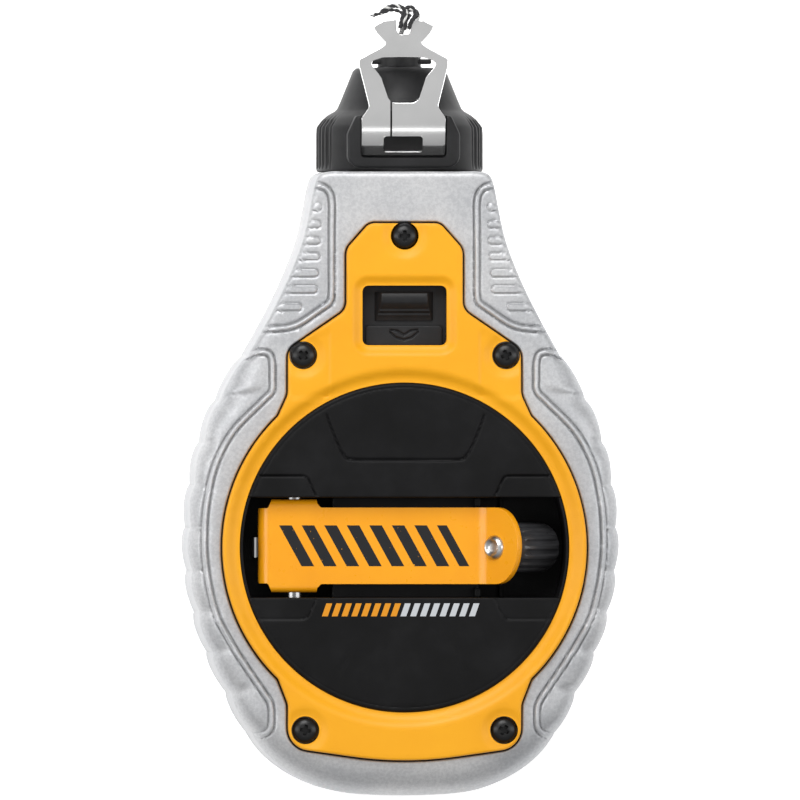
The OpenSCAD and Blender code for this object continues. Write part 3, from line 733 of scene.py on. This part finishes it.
def build_case():
    edge = resample(SILHOUETTE, 0.42)
    front = field(edge, [OPENING], 0.75, case_height, fine=0.3, near=near_case_detail,
                  rims=(0.03, 0.1, 0.22, 0.4, 0.65, 1.0, 1.5, 2.1), edge=0.42, exact=True)
    top = np.c_[edge, case_height(edge)]
    sides = [top]
    for k in range(1, 10):
        level = top.copy()
        level[:, 2] += (9 - top[:, 2]) * k / 9
        sides.append(level)
    for k in range(1, 9):
        t = k / 8 * math.pi / 2
        sides.append(at_z(inset(edge, 6.0 * (1 - math.cos(t))), 9 - 7 * math.sin(t)))
    sides += [at_z(inset(edge, 7.2), 0.35), at_z(inset(edge, 8.4), 0.0)]
    side = loft(sides, cap_first=False, cap_last=True)
    # the wall of the opening, the shelf under the rim and the hollow inside
    o = resample(OPENING, 0.42)
    hollow = inset(resample(BASE_SIDE, 0.42), 2.7)
    lip = loft([at_z(o, Z_RIM - 0.4), at_z(o, 44.6)], False, False)
    shelf = field(inset(hollow, 2), [o], 2.5, lambda q: np.full(len(q), 44.6), rims=(), edge=0.8)
    inside_wall = loft([at_z(inset(hollow, 2), 44.6), at_z(hollow, 38), at_z(hollow, 4),
                        at_z(inset(hollow, 1.5), 2.5)],
                       False, True)
    parts = [front, side, lip, shelf, inside_wall]
    rot = Matrix.Translation((0, 0, 24.0)) @ Matrix.Rotation(-math.pi / 2, 4, "X")
    neck = lathe([(11.5, 87), (14, 87), (14, 93.9), (12.6, 94.0), (12.6, 96.2), (14, 96.3), (14, 99.5),
                  (13.5, 100),
                  (12, 100), (11.5, 99.5), (11.5, 87)], 96)
    neck = (neck[0], neck[1][:-2])
    parts.append(placed(neck, rot))
    posts = [placed(lathe([(3.6, 2.4), (3.6, 45.6), (3.2, 46.0)], 40), Matrix.Translation((x, y, 0)))
             for x, y in ((24.3, 46), (-24.3, 46), (23.8, -43.7), (-23.8, -43.7))]
    parts += posts
    v, f = merge(*parts)
    return finish_mesh("case_casting", v, f, "case", "cast_aluminium", M_CASE, ["case_shell"], smooth=38)


# ---- cover ----

SCREWS = [(0, 74.6), (24.3, 46.0), (-24.3, 46.0), (23.8, -43.7), (-23.8, -43.7)]
WINDOW = box_outline(-10.1, 10.1, 48.4, 62.7, 1.4, 6)


def cover_height(q):
    r = np.hypot(q[:, 0], q[:, 1])
    z = np.full(len(q), 50.0)
    z -= edge_drop(distance(q, COVER), 0.6)
    # the ring slopes gently into the disc opening
    z -= 1.5 * smoothstep(43.2 - r, 0.0, 3.0) * (r < 43.4)
    d = distance(q, WINDOW)
    z -= 1.1 * (1 - smoothstep(d, 0.2, 2.7))
    for x, y in SCREWS:
        e = np.hypot(q[:, 0] - x, q[:, 1] - y)
        z -= 0.6 * (1 - smoothstep(e, 3.4, 6.0))
    # the bosses round the upper screws flow into the plate with a faint step
    m = mirrored_x(q)
    z -= 0.25 * smoothstep(m[:, 0], 17.5, 18.4) * (m[:, 1] > 36) * (1 - smoothstep(m[:, 1], 50.5, 52.5))
    return z


def near_cover_detail(q):
    out = distance(q, WINDOW) < 3.0
    for x, y in SCREWS:
        out |= np.hypot(q[:, 0] - x, q[:, 1] - y) < 5.6
    m = mirrored_x(q)
    return out | ((np.abs(m[:, 0] - 18) < 1.2) & (m[:, 1] > 35) & (m[:, 1] < 54))


def build_cover():
    holes = [circle(39.5, 240), WINDOW] + [circle(3.35, 40, x, y) for x, y in SCREWS]
    top = field(resample(COVER, 0.5), holes, 0.9, cover_height, z_wall=46.2, fine=0.4, near=near_cover_detail)
    under = field(resample(COVER, 0.8), holes, 2.5, lambda q: np.full(len(q), 46.2), rims=(), edge=0.5)
    skirt = lathe([(41.95, 46.3), (43.6, 46.3), (43.6, 21.6), (41.95, 21.6), (41.95, 46.3)], 200)
    skirt = (skirt[0], skirt[1][:-2])
    v, f = merge(top, (under[0], [q[::-1] for q in under[1]]), skirt)
    ob = finish_mesh("cover_moulding", v, f, "case", "yellow_plastic", M_YELLOW, ["front_cover"], smooth=38)
    return ob


def build_seal():
    a, b = inset(COVER, -0.4), inset(COVER, -0.02)
    v, f = field(a, [b], 0.5, lambda q: np.full(len(q), 47.15), z_wall=44.7, rims=(), edge=0.45)
    return finish_mesh("cover_gasket", v, f, "case", "black_rubber", M_RUBBER, ["cover_seal"])


def build_screws():
    parts = []
    head = [(1.35, -8), (1.35, -0.2), (3.0, -0.2), (3.02, 0.3), (2.95, 0.9), (2.7, 1.35), (2.2, 1.7),
            (1.5, 1.92),
            (0.7, 2.0), (0.0, 2.02)]
    for i, (x, y) in enumerate(SCREWS):
        ob = raw(*lathe(head, 56))
        arms = []
        for a in (0.35 * i, 0.35 * i + math.pi / 2):
            p = box_outline(-1.75, 1.75, -0.42, 0.42, 0.2, 4)
            v, f = slab(p, 0.7, 4, 0.05, 1)
            taper = 0.55 + 0.45 * np.clip((v[:, 2] - 0.7) / 1.3, 0, 1)
            v[:, 0] *= taper
            arms.append(raw(*placed((v, f), Matrix.Rotation(a, 4, "Z"))))
        cut(ob, arms)
        ob.location = (x * MM, y * MM, 47.9 * MM)
        parts.append(ob)
    bpy.context.view_layer.update()
    verts, faces = [], []
    k = 0
    for ob in parts:
        verts += [tuple((ob.matrix_world @ v.co) / MM) for v in ob.data.vertices]
        faces += [tuple(i + k for i in p.vertices) for p in ob.data.polygons]
        k += len(ob.data.vertices)
        bpy.data.objects.remove(ob)
    return finish_mesh("pan_head_screws", verts, faces, "case", "black_steel", M_SCREW, ["cover_screws"],
                       smooth=32)


# ---- crank disc ----

TRAPEZE = spline([(-18.6, 31.5), (-17.4, 28.2), (-15.6, 23.9), (-14.6, 22.2), (-12.4, 21.1), (0, 21.0),
                  (12.4, 21.0),
                  (14.8, 22.1), (16.0, 24.0), (17.8, 28.2), (19.0, 31.5)], 10)
LEFT_LINE = resample(rounded([(-39, 17.2, 0), (-23.4, 17.2, 2.0), (-20.9, 11.6, 0), (-39, 11.6, 0)], 8), 0.3)
RIGHT_LINE = LEFT_LINE * (-1.0, 1.0) + (0.4, 0.0)


def disc_height(q):
    r = np.hypot(q[:, 0], q[:, 1])
    z = np.full(len(q), 49.5) - edge_drop(np.maximum(39.4 - r, 0), 0.7)
    z -= edge_drop(np.abs(np.abs(q[:, 1]) - 12.0), 0.35)
    # the face is very slightly domed, with a fine line just inside its edge
    z -= 0.35 * (r / 39.4)**4
    z += groove(r - 38.3, 0.16, 0.14) + groove(distance(q, TRAPEZE, False), 0.3, 0.45)
    for line in (LEFT_LINE, RIGHT_LINE):
        for sign, depth in ((1.0, 0.4), (-1.0, 0.2)):
            m = q * (1.0, sign)
            z += groove(distance(m, line), 0.26, depth) * (np.abs(q[:, 1]) > 12.2)
            z -= 0.16 * inside(m, line)
    for x in (-13.0, 12.0):
        seg = [(x, -24.0), (x - 2.6 * np.sign(x) * -1, -30.0)]
        z += groove(distance(q, seg, False), 0.3, 0.18)
    return z


def near_disc_detail(q):
    d = distance(q, TRAPEZE[::3], False)
    for line in (LEFT_LINE, RIGHT_LINE):
        for sign in (1.0, -1.0):
            d = np.minimum(d, distance(q * (1.0, sign), line[::4]))
    return (d < 0.9) | (np.abs(np.hypot(q[:, 0], q[:, 1]) - 38.3) < 0.5)


def segment(side):
    """Upper or lower part of the disc beside the channel."""
    a = math.asin(12.0 / 39.4)
    t = np.linspace(a, math.pi - a, 160)
    p = np.c_[39.4 * np.cos(t), 39.4 * np.sin(t) * side]
    return p if side > 0 else p[::-1]


def build_disc():
    parts = []
    for side in (1, -1):
        parts.append(field(segment(side), [], 0.9, disc_height, z_wall=30.1, fine=0.28, near=near_disc_detail,
                           rims=(0.08, 0.2, 0.4, 0.7), edge=0.5))
    # channel: floor in three steps, closed by the rim at both ends
    w = 12.0

    def strip(x0, x1, z):
        xs, ys = np.linspace(x0, x1, 12), np.linspace(-w, w, 12)
        v = [(x, y, z) for x in xs for y in ys]
        f = [(i * 12 + j, (i + 1) * 12 + j, (i + 1) * 12 + j + 1, i * 12 + j + 1)
             for i in range(11) for j in range(11)]
        return np.array(v), f

    mid = box_mesh(-17.1, 18.2, -w - 0.2, w + 0.2, 30.2, 41.0, 0.5)
    low = box_mesh(-38.9, 38.9, -w - 0.2, w + 0.2, 30.1, 31.3, 0.15)
    parts += [mid, low]
    rib = [box_mesh(x, x + 0.9, -w - 0.2, w + 0.2, 31, 32.4, 0.3) for x in (23.4,)]
    ledge = [box_mesh(17.1, 18.5, y - 1.1, y + 1.1, 36, 43.0, 0.3) for y in (-10.8, 10.8)]
    parts += rib + ledge
    for side in (1, -1):
        t = np.linspace(-math.asin(12.3 / 39.0), math.asin(12.3 / 39.0), 40) + (0 if side > 0 else math.pi)
        o = np.c_[39.38 * np.cos(t), 39.38 * np.sin(t)]
        i = np.c_[38.7 * np.cos(t), 38.7 * np.sin(t)][::-1]
        ring = np.vstack([o, i])
        parts.append(slab(ring, 30.2, 48.2, 0.18, 3))
    drum = lathe([(39.0, 30.1), (41.5, 30.1), (41.6, 30.3), (41.6, 45.3), (41.4, 45.6), (39.0, 45.6),
                  (39.0, 30.1)], 220)
    parts.append((drum[0], drum[1][:-2]))
    v, f = merge(*parts)
    return finish_mesh("disc_moulding", v, f, "crank_disc", "black_plastic", M_DISC, ["crank_disc"],
                       smooth=36)


# ---- sheet metal ----

def sheet_metal(name, outline, holes, bend, thickness, body, mat, replaces, step=0.45, edge=0.3,
                bevel=0.18,
                fine=None, near=None):
    """A flat pattern cut from sheet, bent by bend(points) -> 3D of the front face, then
    thickened backward."""
    v, f = field(outline, holes, step, lambda q: np.zeros(len(q)), rims=(0.12, 0.3), edge=edge, fine=fine,
                 near=near)
    ob = raw(bend(v[:, :2]), f)
    up = sum((p.normal.z * p.area for p in ob.data.polygons))
    if up < 0:
        ob.data.flip_normals()
    m = ob.modifiers.new("thick", "SOLIDIFY")
    m.thickness, m.offset, m.use_even_offset = thickness * MM, -1.0, False
    if bevel:
        b = ob.modifiers.new("edge", "BEVEL")
        b.width, b.segments, b.limit_method, b.angle_limit = bevel * MM, 2, "ANGLE", math.radians(50)
    apply_modifiers(ob)
    ob.name = ob.data.name = name
    return dress(ob, body, mat, replaces, 40)


def fold(s, start, radius, angle):
    """Run and fall of a strip that goes straight to start, turns down by angle on the radius, then
    runs straight."""
    t = np.clip((s - start) / radius, 0, angle)
    rest = np.maximum(s - start - radius * angle, 0)
    run = np.where(s < start, s, start + radius * np.sin(t) + rest * math.cos(angle))
    fall = radius * (1 - np.cos(t)) + rest * math.sin(angle)
    return run, fall


ARM_Z, ARM_BEND, CRANK_Y = 45.5, 18.7, 0.4  # the arm lies a little above the middle of its channel


def arm_bend(q):
    u, v = q[:, 0], q[:, 1]
    y, fall = fold(np.abs(v), 9.6, 1.55, math.pi / 2)
    ear = (u > -34) & (u < -18.5)
    y = np.where(ear, y, np.abs(v)) * np.sign(v)
    z = ARM_Z - np.where(ear, fall, 0)
    back, drop = fold(-u, 32.1, 2.7, math.radians(80))
    x = np.where(u < -32.1, -back, u)
    z = z - np.where(u < -32.1, drop, 0)
    fwd, rise = fold(u, ARM_BEND - 1.7, 4.2, math.radians(45))
    x = np.where(u > ARM_BEND - 1.7, fwd, x)
    z = z + np.where(u > ARM_BEND - 1.7, rise, 0)
    return np.c_[x, y + CRANK_Y, z]


def build_arm():
    tip = []
    s0 = 22.85  # the rivet's place on the flat pattern
    for t in np.linspace(-math.pi / 2, math.pi / 2, 40):
        tip.append((s0 + 7.1 * math.cos(t), 9.15 * math.sin(t), 0))
    ear_x0, ear_x1, ear_y = -31.3, -20.9, 14.1
    right = [(-36.4, -9.0, 0.8), (-32.6, -9.0, 0.4), (-31.9, -10.6, 0.4), (ear_x0, -ear_y, 1.0),
             (ear_x1, -ear_y, 1.0), (ear_x1 + 0.1, -10.2, 0.4), (-19.9, -9.15, 0.4)]
    left = [(x, -y, r) for x, y, r in right[::-1]]
    outline = rounded(right + tip + left, 6)
    hole = circle(2.0, 40, s0, -CRANK_Y)
    near = lambda q: (q[:, 0] < -17) | (q[:, 0] > 16.5)
    return sheet_metal("stamped_arm", outline, [hole], arm_bend, 1.6, "crank_arm", M_ARM,
                       ["crank_arm"], 0.9, 0.4, 0.22, fine=0.4, near=near)


TAB = Matrix.Translation((ARM_BEND, 0, ARM_Z)) @ Matrix.Rotation(-math.pi / 4, 4, "Y") \
    @ Matrix.Translation((4.0, 0, 0)) \
    @ Matrix.Rotation(math.pi, 4, "X")


def build_knob():
    prof = [(2.2, 1.95), (5.0, 1.95), (5.35, 2.2), (5.45, 2.6), (5.45, 4.6), (5.5, 5.1), (5.75, 5.5),
            (5.93, 6.0),
            (5.93, 9), (5.93, 12), (5.93, 15.2), (5.9, 16.2), (5.7, 16.9), (5.2, 17.3), (4.4, 17.5),
            (3.3, 17.5),
            (3.3, 15.9), (2.2, 15.9), (2.2, 1.95)]

    def ribs(t, r, z):
        on = float(smoothstep(np.array([z]), 5.0, 5.9)[0] * (1 - smoothstep(np.array([z]), 15.6, 17.0)[0]))
        wave = np.clip(np.cos(t * 15) * 1.7, -1, 1)
        return r - (0.5 * (1 - wave) / 2 * on if r > 4.9 else 0)

    v, f = lathe(prof, 360, ribs)
    v, f = placed((v, f[:-2]), TAB)
    return finish_mesh("grip_knob", v, f, "knob", "black_plastic", M_KNOB, ["crank_knob"], smooth=40)


def build_rivet():
    shank = lathe([(0.0, 0.2), (2.0, 0.2), (2.0, 16.0), (3.0, 16.0), (3.0, 17.0), (2.6, 17.3), (0.0, 17.3)],
                  48)
    head = lathe([(0.0, -0.55), (1.0, -0.5), (1.5, -0.62), (1.75, -0.98), (2.1, -1.1), (2.6, -0.75),
                  (2.9, -0.3),
                  (2.95, 0.02), (0.0, 0.02)], 64)
    v, f = placed(merge(shank, head), TAB)
    return finish_mesh("knob_rivet_headed", v, f, "crank_arm", "plain_steel", M_STEEL, ["knob_rivet"],
                       smooth=50)


# ---- clutch slider ----

def build_slider():
    base = box_mesh(-11.8, 11.8, 47.8, 66.1, 43.6, 45.0, 0.25)
    pad = field(box_outline(-9.2, 9.2, 48.0, 53.1, 0.5, 4), [], 0.5,
                lambda q: 45.75 - edge_drop(distance(q,
                                                     rounded([(-9.2, 48.0, .5), (9.2, 48.0, .5),
                                                              (9.2, 53.1, .5),
                                                                 (-9.2, 53.1, .5)], 4)), 0.25)
                + groove(distance(q, [(-3.3, 52.1), (-1.6, 51.9), (0, 50.9), (1.6, 51.9), (3.3, 52.1)],
                                  False), 0.2, 0.4)
                + groove(distance(q, [(-3.4, 51.6), (-1.9, 50.3), (0, 49.7), (1.9, 50.3), (3.4, 51.6)],
                                  False), 0.2, 0.4),
                z_wall=44.6, fine=0.16, near=lambda q: (np.abs(q[:, 0]) < 4.2) & (q[:, 1] > 49.2), edge=0.3,
                rims=(0.06, 0.14, 0.25))
    # thumb ridge: narrow lit crest, long ribbed slope toward the pad
    rings = []
    side = [(54.2, 45.0), (54.3, 45.5), (55.3, 46.0), (55.6, 46.35), (56.1, 46.4), (56.6, 47.1),
            (57.1, 47.2), (57.7, 47.9),
            (58.4, 48.5), (58.8, 48.75), (60.3, 48.75), (60.8, 48.5), (61.1, 47.8), (61.2, 45.0)]
    for x in np.r_[np.linspace(-1, -0.94, 4), np.linspace(-0.9, 0.9, 10), np.linspace(0.94, 1, 4)]:
        e = 1 - abs(x)
        shrink = 0.35 * max(0.0, 1 - e / 0.06)**2
        ring = []
        for y, z in side:
            half = 7.0 - 1.25 * (z - 45.0) / 3.75
            zz = 45.0 + (z - 45.0) * (1 - 0.12 * shrink / 0.35 * (z > 46))
            ring.append((x * half, y + shrink * (0.5 if y < 58 else -0.5), zz - shrink * 0.5 * (z > 45.2)))
        rings.append(np.array(ring))
    n = len(side)
    v = np.vstack(rings)
    f = [(j * n + i, j * n + (i + 1) % n, (j + 1) * n + (i + 1) % n, (j + 1) * n + i)
         for j in range(len(rings) - 1) for i in range(n)]
    f += [tuple(range(n)), tuple((len(rings) - 1) * n + i for i in range(n))[::-1]]
    leg = box_mesh(-4, 4, 47.85, 50, 26.9, 43.8, 0.25)
    tongue = box_mesh(-4, 4, 38.95, 49.5, 26.85, 28.15, 0.2)
    tooth = box_mesh(-3.9, 3.9, 38.95, 41, 24.95, 27.4, 0.2)
    v, f = merge(base, pad, (v, f), leg, tongue, tooth)
    return finish_mesh("thumb_slider", v, f, "slider", "black_plastic", M_CAP, ["clutch_slider"], smooth=36)


# ---- cap ----

def build_cap():
    prof = [(14.4, 89.95), (19.4, 89.95), (19.85, 90.2), (20.0, 90.7), (20.0, 93), (20.0, 96), (20.0, 99),
            (19.9, 100.6),
            (19.4, 101.4), (18.4, 102.6), (17.2, 103.6), (15.6, 104.5), (14.9, 105.2), (14.2, 106.8),
            (13.3, 109),
            (12.4, 111.2), (11.6, 113.2), (11.2, 114.2), (10.4, 114.9), (8.6, 115.0), (5.5, 115.0),
            (5.15, 115.3),
            (5.1, 117.9), (4.8, 118.35), (4.3, 118.5), (2.4, 118.5), (2.4, 112), (0.95, 112), (0.95, 101.0),
            (14.4, 100.4), (14.4, 89.95)]

    def ribs(t, r, z):
        a = np.degrees(np.minimum(np.abs(t), np.abs(t - 2 * np.pi)))
        a = np.minimum(a, np.abs(np.degrees(t) - 180))
        on = (1 - smoothstep(a, 30, 33)) * float(smoothstep(np.array([z]), 90.6, 91.4)[0])
        fade = float(1 - smoothstep(np.array([z]), 101.2, 103.4)[0])
        wave = smoothstep(np.cos(np.radians(a) * 60), -0.25, 0.45)
        return np.full(len(t), float(r)) - (0.75 * (1 - wave) * on * fade if r > 15 else 0)

    v, f = lathe(prof, 480, ribs)
    rot = Matrix.Translation((0, 0, 24.0)) @ Matrix.Rotation(-math.pi / 2, 4, "X")
    ob = raw(*placed((v, f[:-2]), rot))
    frame_out = resample(rounded([(-13.5, 90.95, 3.0), (13.5, 90.95, 3.0), (13.5, 99.0, 3.0),
                                  (11.4, 103.4, 0.8),
                                  (-11.4, 103.4, 0.8), (-13.5, 99.0, 3.0)], 8), 0.5)
    body = raw(*slab(frame_out, 30, 44.9, 0.7, 5))
    lugs = raw(*placed(slab(resample(rounded([(-7.6, 115.9, 0.3), (7.6, 115.9, 0.3), (7.6, 117.1, 0.3),
                                              (-7.6, 117.1, 0.3)],
                                             3), 0.4), 22.2, 25.8, 0.3, 3), Matrix.Identity(4)))
    cut(ob, [body, lugs], "UNION")
    pocket = raw(*slab(resample(box_outline(-10.35, 10.35, 93.3, 125, 1.0, 5), 0.6),
                       39.4, 60, 0.3, 2))
    bore = raw(*placed(lathe([(14.4, 80), (14.4, 100.35)], 120), rot))
    top = raw(*slab(np.array([(-15.0, 104.6), (15.0, 104.6), (15.0, 130), (-15.0, 130)]), 39.4, 60, 0.05, 1))
    cut(ob, [pocket, top], "DIFFERENCE")
    cut(ob, [bore], "DIFFERENCE")
    ob.name = ob.data.name = "outlet_cap"
    m = ob.modifiers.new("edge", "BEVEL")
    m.width, m.segments, m.limit_method, m.angle_limit = 0.25 * MM, 2, "ANGLE", math.radians(55)
    apply_modifiers(ob)
    return dress(ob, "cap", M_CAP, ["nose_cap"], 32)


# ---- hook ----

HOOK_Z, HOOK_T = 44.4, 1.2
FOOT_Y, FOOT_R, FOOT_END = 103.2, 15.5, 37.0


def hook_bend(q):
    x, v = q[:, 0], q[:, 1]
    s = np.maximum(FOOT_Y - v, 0)
    run, fall = fold(s, 0.0, FOOT_R, math.radians(FOOT_END))
    y = np.where(s > 0, FOOT_Y - run, v)
    z = HOOK_Z - np.where(s > 0, fall, 0)
    # the head is bent back a little above the window
    t = np.maximum(v - 118.2, 0)
    return np.c_[x, y, z - 0.04 * t * smoothstep(t, 0, 1.2)]


def build_hook():
    end = FOOT_Y - FOOT_R * math.radians(FOOT_END)
    half = [(1.75, 122.8, 1.3), (1.8, 126.4, 0.3), (4.7, 126.1, 0.6), (7.3, 124.7, 0.35), (6.4, 123.2, 0.25),
            (4.1, 120.7, 0.5), (5.6, 119.6, 1.5), (10.6, 116.9, 0.6), (10.7, 115.4, 0.6), (8.2, 105.4, 1.6),
            (10.1, 102.8, 0.5), (10.1, end, 0.4)]
    outline = rounded(half[::-1] + [(-x, y, r) for x, y, r in half], 7)
    window = rounded(both_sides([(0, 106.4, 0), (3.3, 106.4, 2.2), (5.4, 112.6, 4.0), (7.7, 115.4, 0.6),
                                 (7.4, 116.5, 0.4), (5.1, 117.3, 0.6), (0, 117.4, 0)]), 6)
    low = box_outline(-4.7, 4.6, end + 0.9, 98.3, 0.7, 5)
    return outline, window, low


def make_hook():
    outline, window, low = build_hook()
    near = lambda q: q[:, 1] < 104.5
    ob = sheet_metal("sheet_hook", outline, [window, low], hook_bend, HOOK_T, "hook",
                     M_HOOK,
                     ["hook"], 0.7, 0.3, 0.12, fine=0.35, near=near)
    slit = raw(*slab(np.array([(-3.2, 97.6), (-2.75, 97.6), (-2.75, 107.9), (-3.2, 107.9)]), 20, 60, 0.02, 1))
    cut(ob, [slit])
    ob.data.polygons.foreach_set("use_smooth", [True] * len(ob.data.polygons))
    ob.data.set_sharp_from_angle(angle=math.radians(36))
    return ob


# ---- line ----

def twisted(path, r_path, r_strand, turns, count, phase=0.0, n=10):
    """Strands wound round a path, as one mesh per colour set."""
    p = spline(path, 24)
    d = np.r_[0, np.cumsum(np.linalg.norm(np.diff(p, axis=0), axis=1))]
    m = max(40, int(d[-1] / 0.12))
    t = np.linspace(0, d[-1], m)
    c = np.c_[[np.interp(t, d, p[:, k]) for k in range(3)]].T
    tan = np.gradient(c, axis=0)
    tan /= np.linalg.norm(tan, axis=1)[:, None]
    u = np.zeros_like(c)
    ref = np.array([1.0, 0.2, 0.1])
    u[0] = unit(np.cross(tan[0], ref))
    for i in range(1, m):
        u[i] = unit(u[i - 1] - tan[i] * (u[i - 1] @ tan[i]))
    w = np.cross(tan, u)
    out = []
    for s in range(count):
        a = 2 * math.pi * (turns * t / d[-1] + s / count) + phase
        centre = c + r_path * (u * np.cos(a)[:, None] + w * np.sin(a)[:, None])
        tan2 = np.gradient(centre, axis=0)
        tan2 /= np.linalg.norm(tan2, axis=1)[:, None]
        rings = []
        uu = unit(np.cross(tan2[0], ref))
        for i in range(m):
            uu = unit(uu - tan2[i] * (uu @ tan2[i]))
            ww = np.cross(tan2[i], uu)
            k = np.linspace(0, 2 * math.pi, n, endpoint=False)
            rings.append(centre[i] + r_strand * (np.outer(np.cos(k), uu) + np.outer(np.sin(k), ww)))
        out.append(loft(rings))
    return out


def build_line():
    kz = HOOK_Z + 1.0
    run = [(0, 70, 24), (0, 95, 24), (0, 117, 24), (0, 120.2, 24.6), (0.05, 122.8, 30), (0.1, 124.2, 37),
           (0.1, 125.0, 42.6), (0.3, 125.6, 44.4), (0.6, 126.4, kz + 0.4), (1.4, 127.6, kz + 0.8)]
    strands = twisted(run, 0.26, 0.31, 26, 4)
    loops = []
    loops += twisted([(0.4, 124.0, kz + 0.6), (0.2, 126.4, kz + 1.4), (0.6, 128.4, kz + 1.2),
                      (2.4, 128.6, kz + 0.6),
                      (3.4, 127.4, kz + 0.2), (3.2, 126.4, kz)], 0.26, 0.3, 3, 3)
    loops += twisted([(-0.9, 124.4, kz + 0.3), (-0.4, 126.8, kz + 1.2), (0.4, 128.9, kz + 1.2),
                      (1.9, 129.2, kz + 0.9),
                      (2.7, 127.6, kz + 1.1), (1.6, 125.6, kz + 1.2), (1.2, 124.2, kz + 0.5)], 0.26, 0.3, 4,
                     3, 1.0)
    tail = twisted([(0.9, 127.8, kz + 1.4), (-0.6, 129.3, kz + 1.2), (-2.6, 129.6, kz + 0.9),
                    (-4.6, 128.9, kz + 0.6),
                    (-5.7, 127.6, kz + 0.3)], 0.25, 0.28, 3, 3, 0.4)
    tail += twisted([(0.4, 127.2, kz + 1.2), (-1.4, 128.4, kz + 1.0), (-3.4, 128.6, kz + 0.8),
                     (-5.2, 127.9, kz + 0.5),
                     (-7.0, 127.5, kz + 0.3)], 0.2, 0.24, 3, 2, 2.0)
    fray = []
    for i in range(7):
        e = np.array([-7.2 + 0.5 * rng.normal(), 127.4 + 0.5 * rng.normal(), kz + 0.2 + 0.2 * rng.random()])
        fray += twisted([(-5.0, 127.8, kz + 0.5), (-6.2, 127.7 + 0.2 * rng.normal(), kz + 0.5), tuple(e)],
                        0.02, 0.1, 1, 1)
    everything = strands + loops + tail + fray
    dark = [s for i, s in enumerate(everything) if i % 5 != 1]
    pale = [s for i, s in enumerate(everything) if i % 5 == 1]
    a = finish_mesh("line_dark_strands", *merge(*dark), "line", "braided_line", M_YARN_B, ["line_end"], 60)
    b = finish_mesh("line_pale_strands", *merge(*pale), "line", "braided_line", M_YARN_W, ["line_end"], 60)
    return a, b


build_case()
build_cover()
build_seal()
build_screws()
build_disc()
build_arm()
build_knob()
build_rivet()
build_slider()
build_cap()
make_hook()
build_line()


# ---- floor, light, camera ----

def stage():
    v = [(-2, -2, 0), (2, -2, 0), (2, 2, 0), (-2, 2, 0)]
    me = bpy.data.meshes.new("floor")
    me.from_pydata(v, [], [(0, 1, 2, 3)])
    ob = bpy.data.objects.new("floor", me)
    bpy.context.collection.objects.link(ob)
    ob.location.z = cad_box[0][2] - 0.0005
    n = Nodes("floor_white")
    n.set(Base_Color=(0.9, 0.9, 0.9), Roughness=0.9, Emission_Color=(1.0, 1.0, 1.0), Emission_Strength=0.55)
    me.materials.append(n.mat)

    world = bpy.data.worlds.new("studio")
    bpy.context.scene.world = world
    world.use_nodes = True
    tree = world.node_tree
    coords, split = tree.nodes.new("ShaderNodeTexCoord"), tree.nodes.new("ShaderNodeSeparateXYZ")
    ramp = tree.nodes.new("ShaderNodeValToRGB")
    tree.links.new(coords.outputs["Generated"], split.inputs[0])
    tree.links.new(split.outputs["Z"], ramp.inputs["Fac"])
    tree.links.new(ramp.outputs["Color"], tree.nodes["Background"].inputs["Color"])
    for e, (pos, v) in zip([ramp.color_ramp.elements[0], ramp.color_ramp.elements[1],
                            ramp.color_ramp.elements.new(0.4)], [(0.0, 0.18), (1.0, 1.0), (0.4, 0.42)]):
        e.position, e.color = pos, (v, v, v, 1)
    tree.nodes["Background"].inputs["Strength"].default_value = 0.58

    def area(name, location, size, power, target=(0, 0.03, 0.02)):
        light = bpy.data.lights.new(name, "AREA")
        light.shape, light.size, light.size_y, light.energy = "RECTANGLE", size[0], size[1], power
        ob = bpy.data.objects.new(name, light)
        ob.location = location
        ob.rotation_euler = (Vector(target) - Vector(location)).to_track_quat("-Z", "Y").to_euler()
        bpy.context.collection.objects.link(ob)

    area("key", (-0.12, 0.62, 0.70), (0.5, 0.5), 5.4)
    area("left", (-0.70, 0.06, 0.62), (0.25, 0.8), 2.8)
    area("right", (0.70, 0.06, 0.62), (0.25, 0.8), 2.4)
    area("strip", (0.0, -0.42, 1.25), (0.5, 0.08), 0.25)


def camera():
    # almost straight down on the crank side, from slightly to the left; the picture spans 192 mm at mid depth
    cam = bpy.data.cameras.new("camera")
    ob = bpy.data.objects.new("camera", cam)
    bpy.context.collection.objects.link(ob)
    span, reach, lean = 0.192, 8.0, math.radians(2.9)
    aim = Vector((0.00015, 0.0353, 0.024))
    ob.location = aim + Vector((-reach * math.sin(lean), 0, reach * math.cos(lean)))
    ob.rotation_euler = (0, -lean, 0)
    cam.sensor_width = 36.0
    cam.lens = cam.sensor_width * reach / span
    cam.clip_end = 20
    bpy.context.scene.camera = ob


stage()
camera()
scene = bpy.context.scene
scene.view_settings.view_transform = "Standard"
scene.view_settings.look = "None"
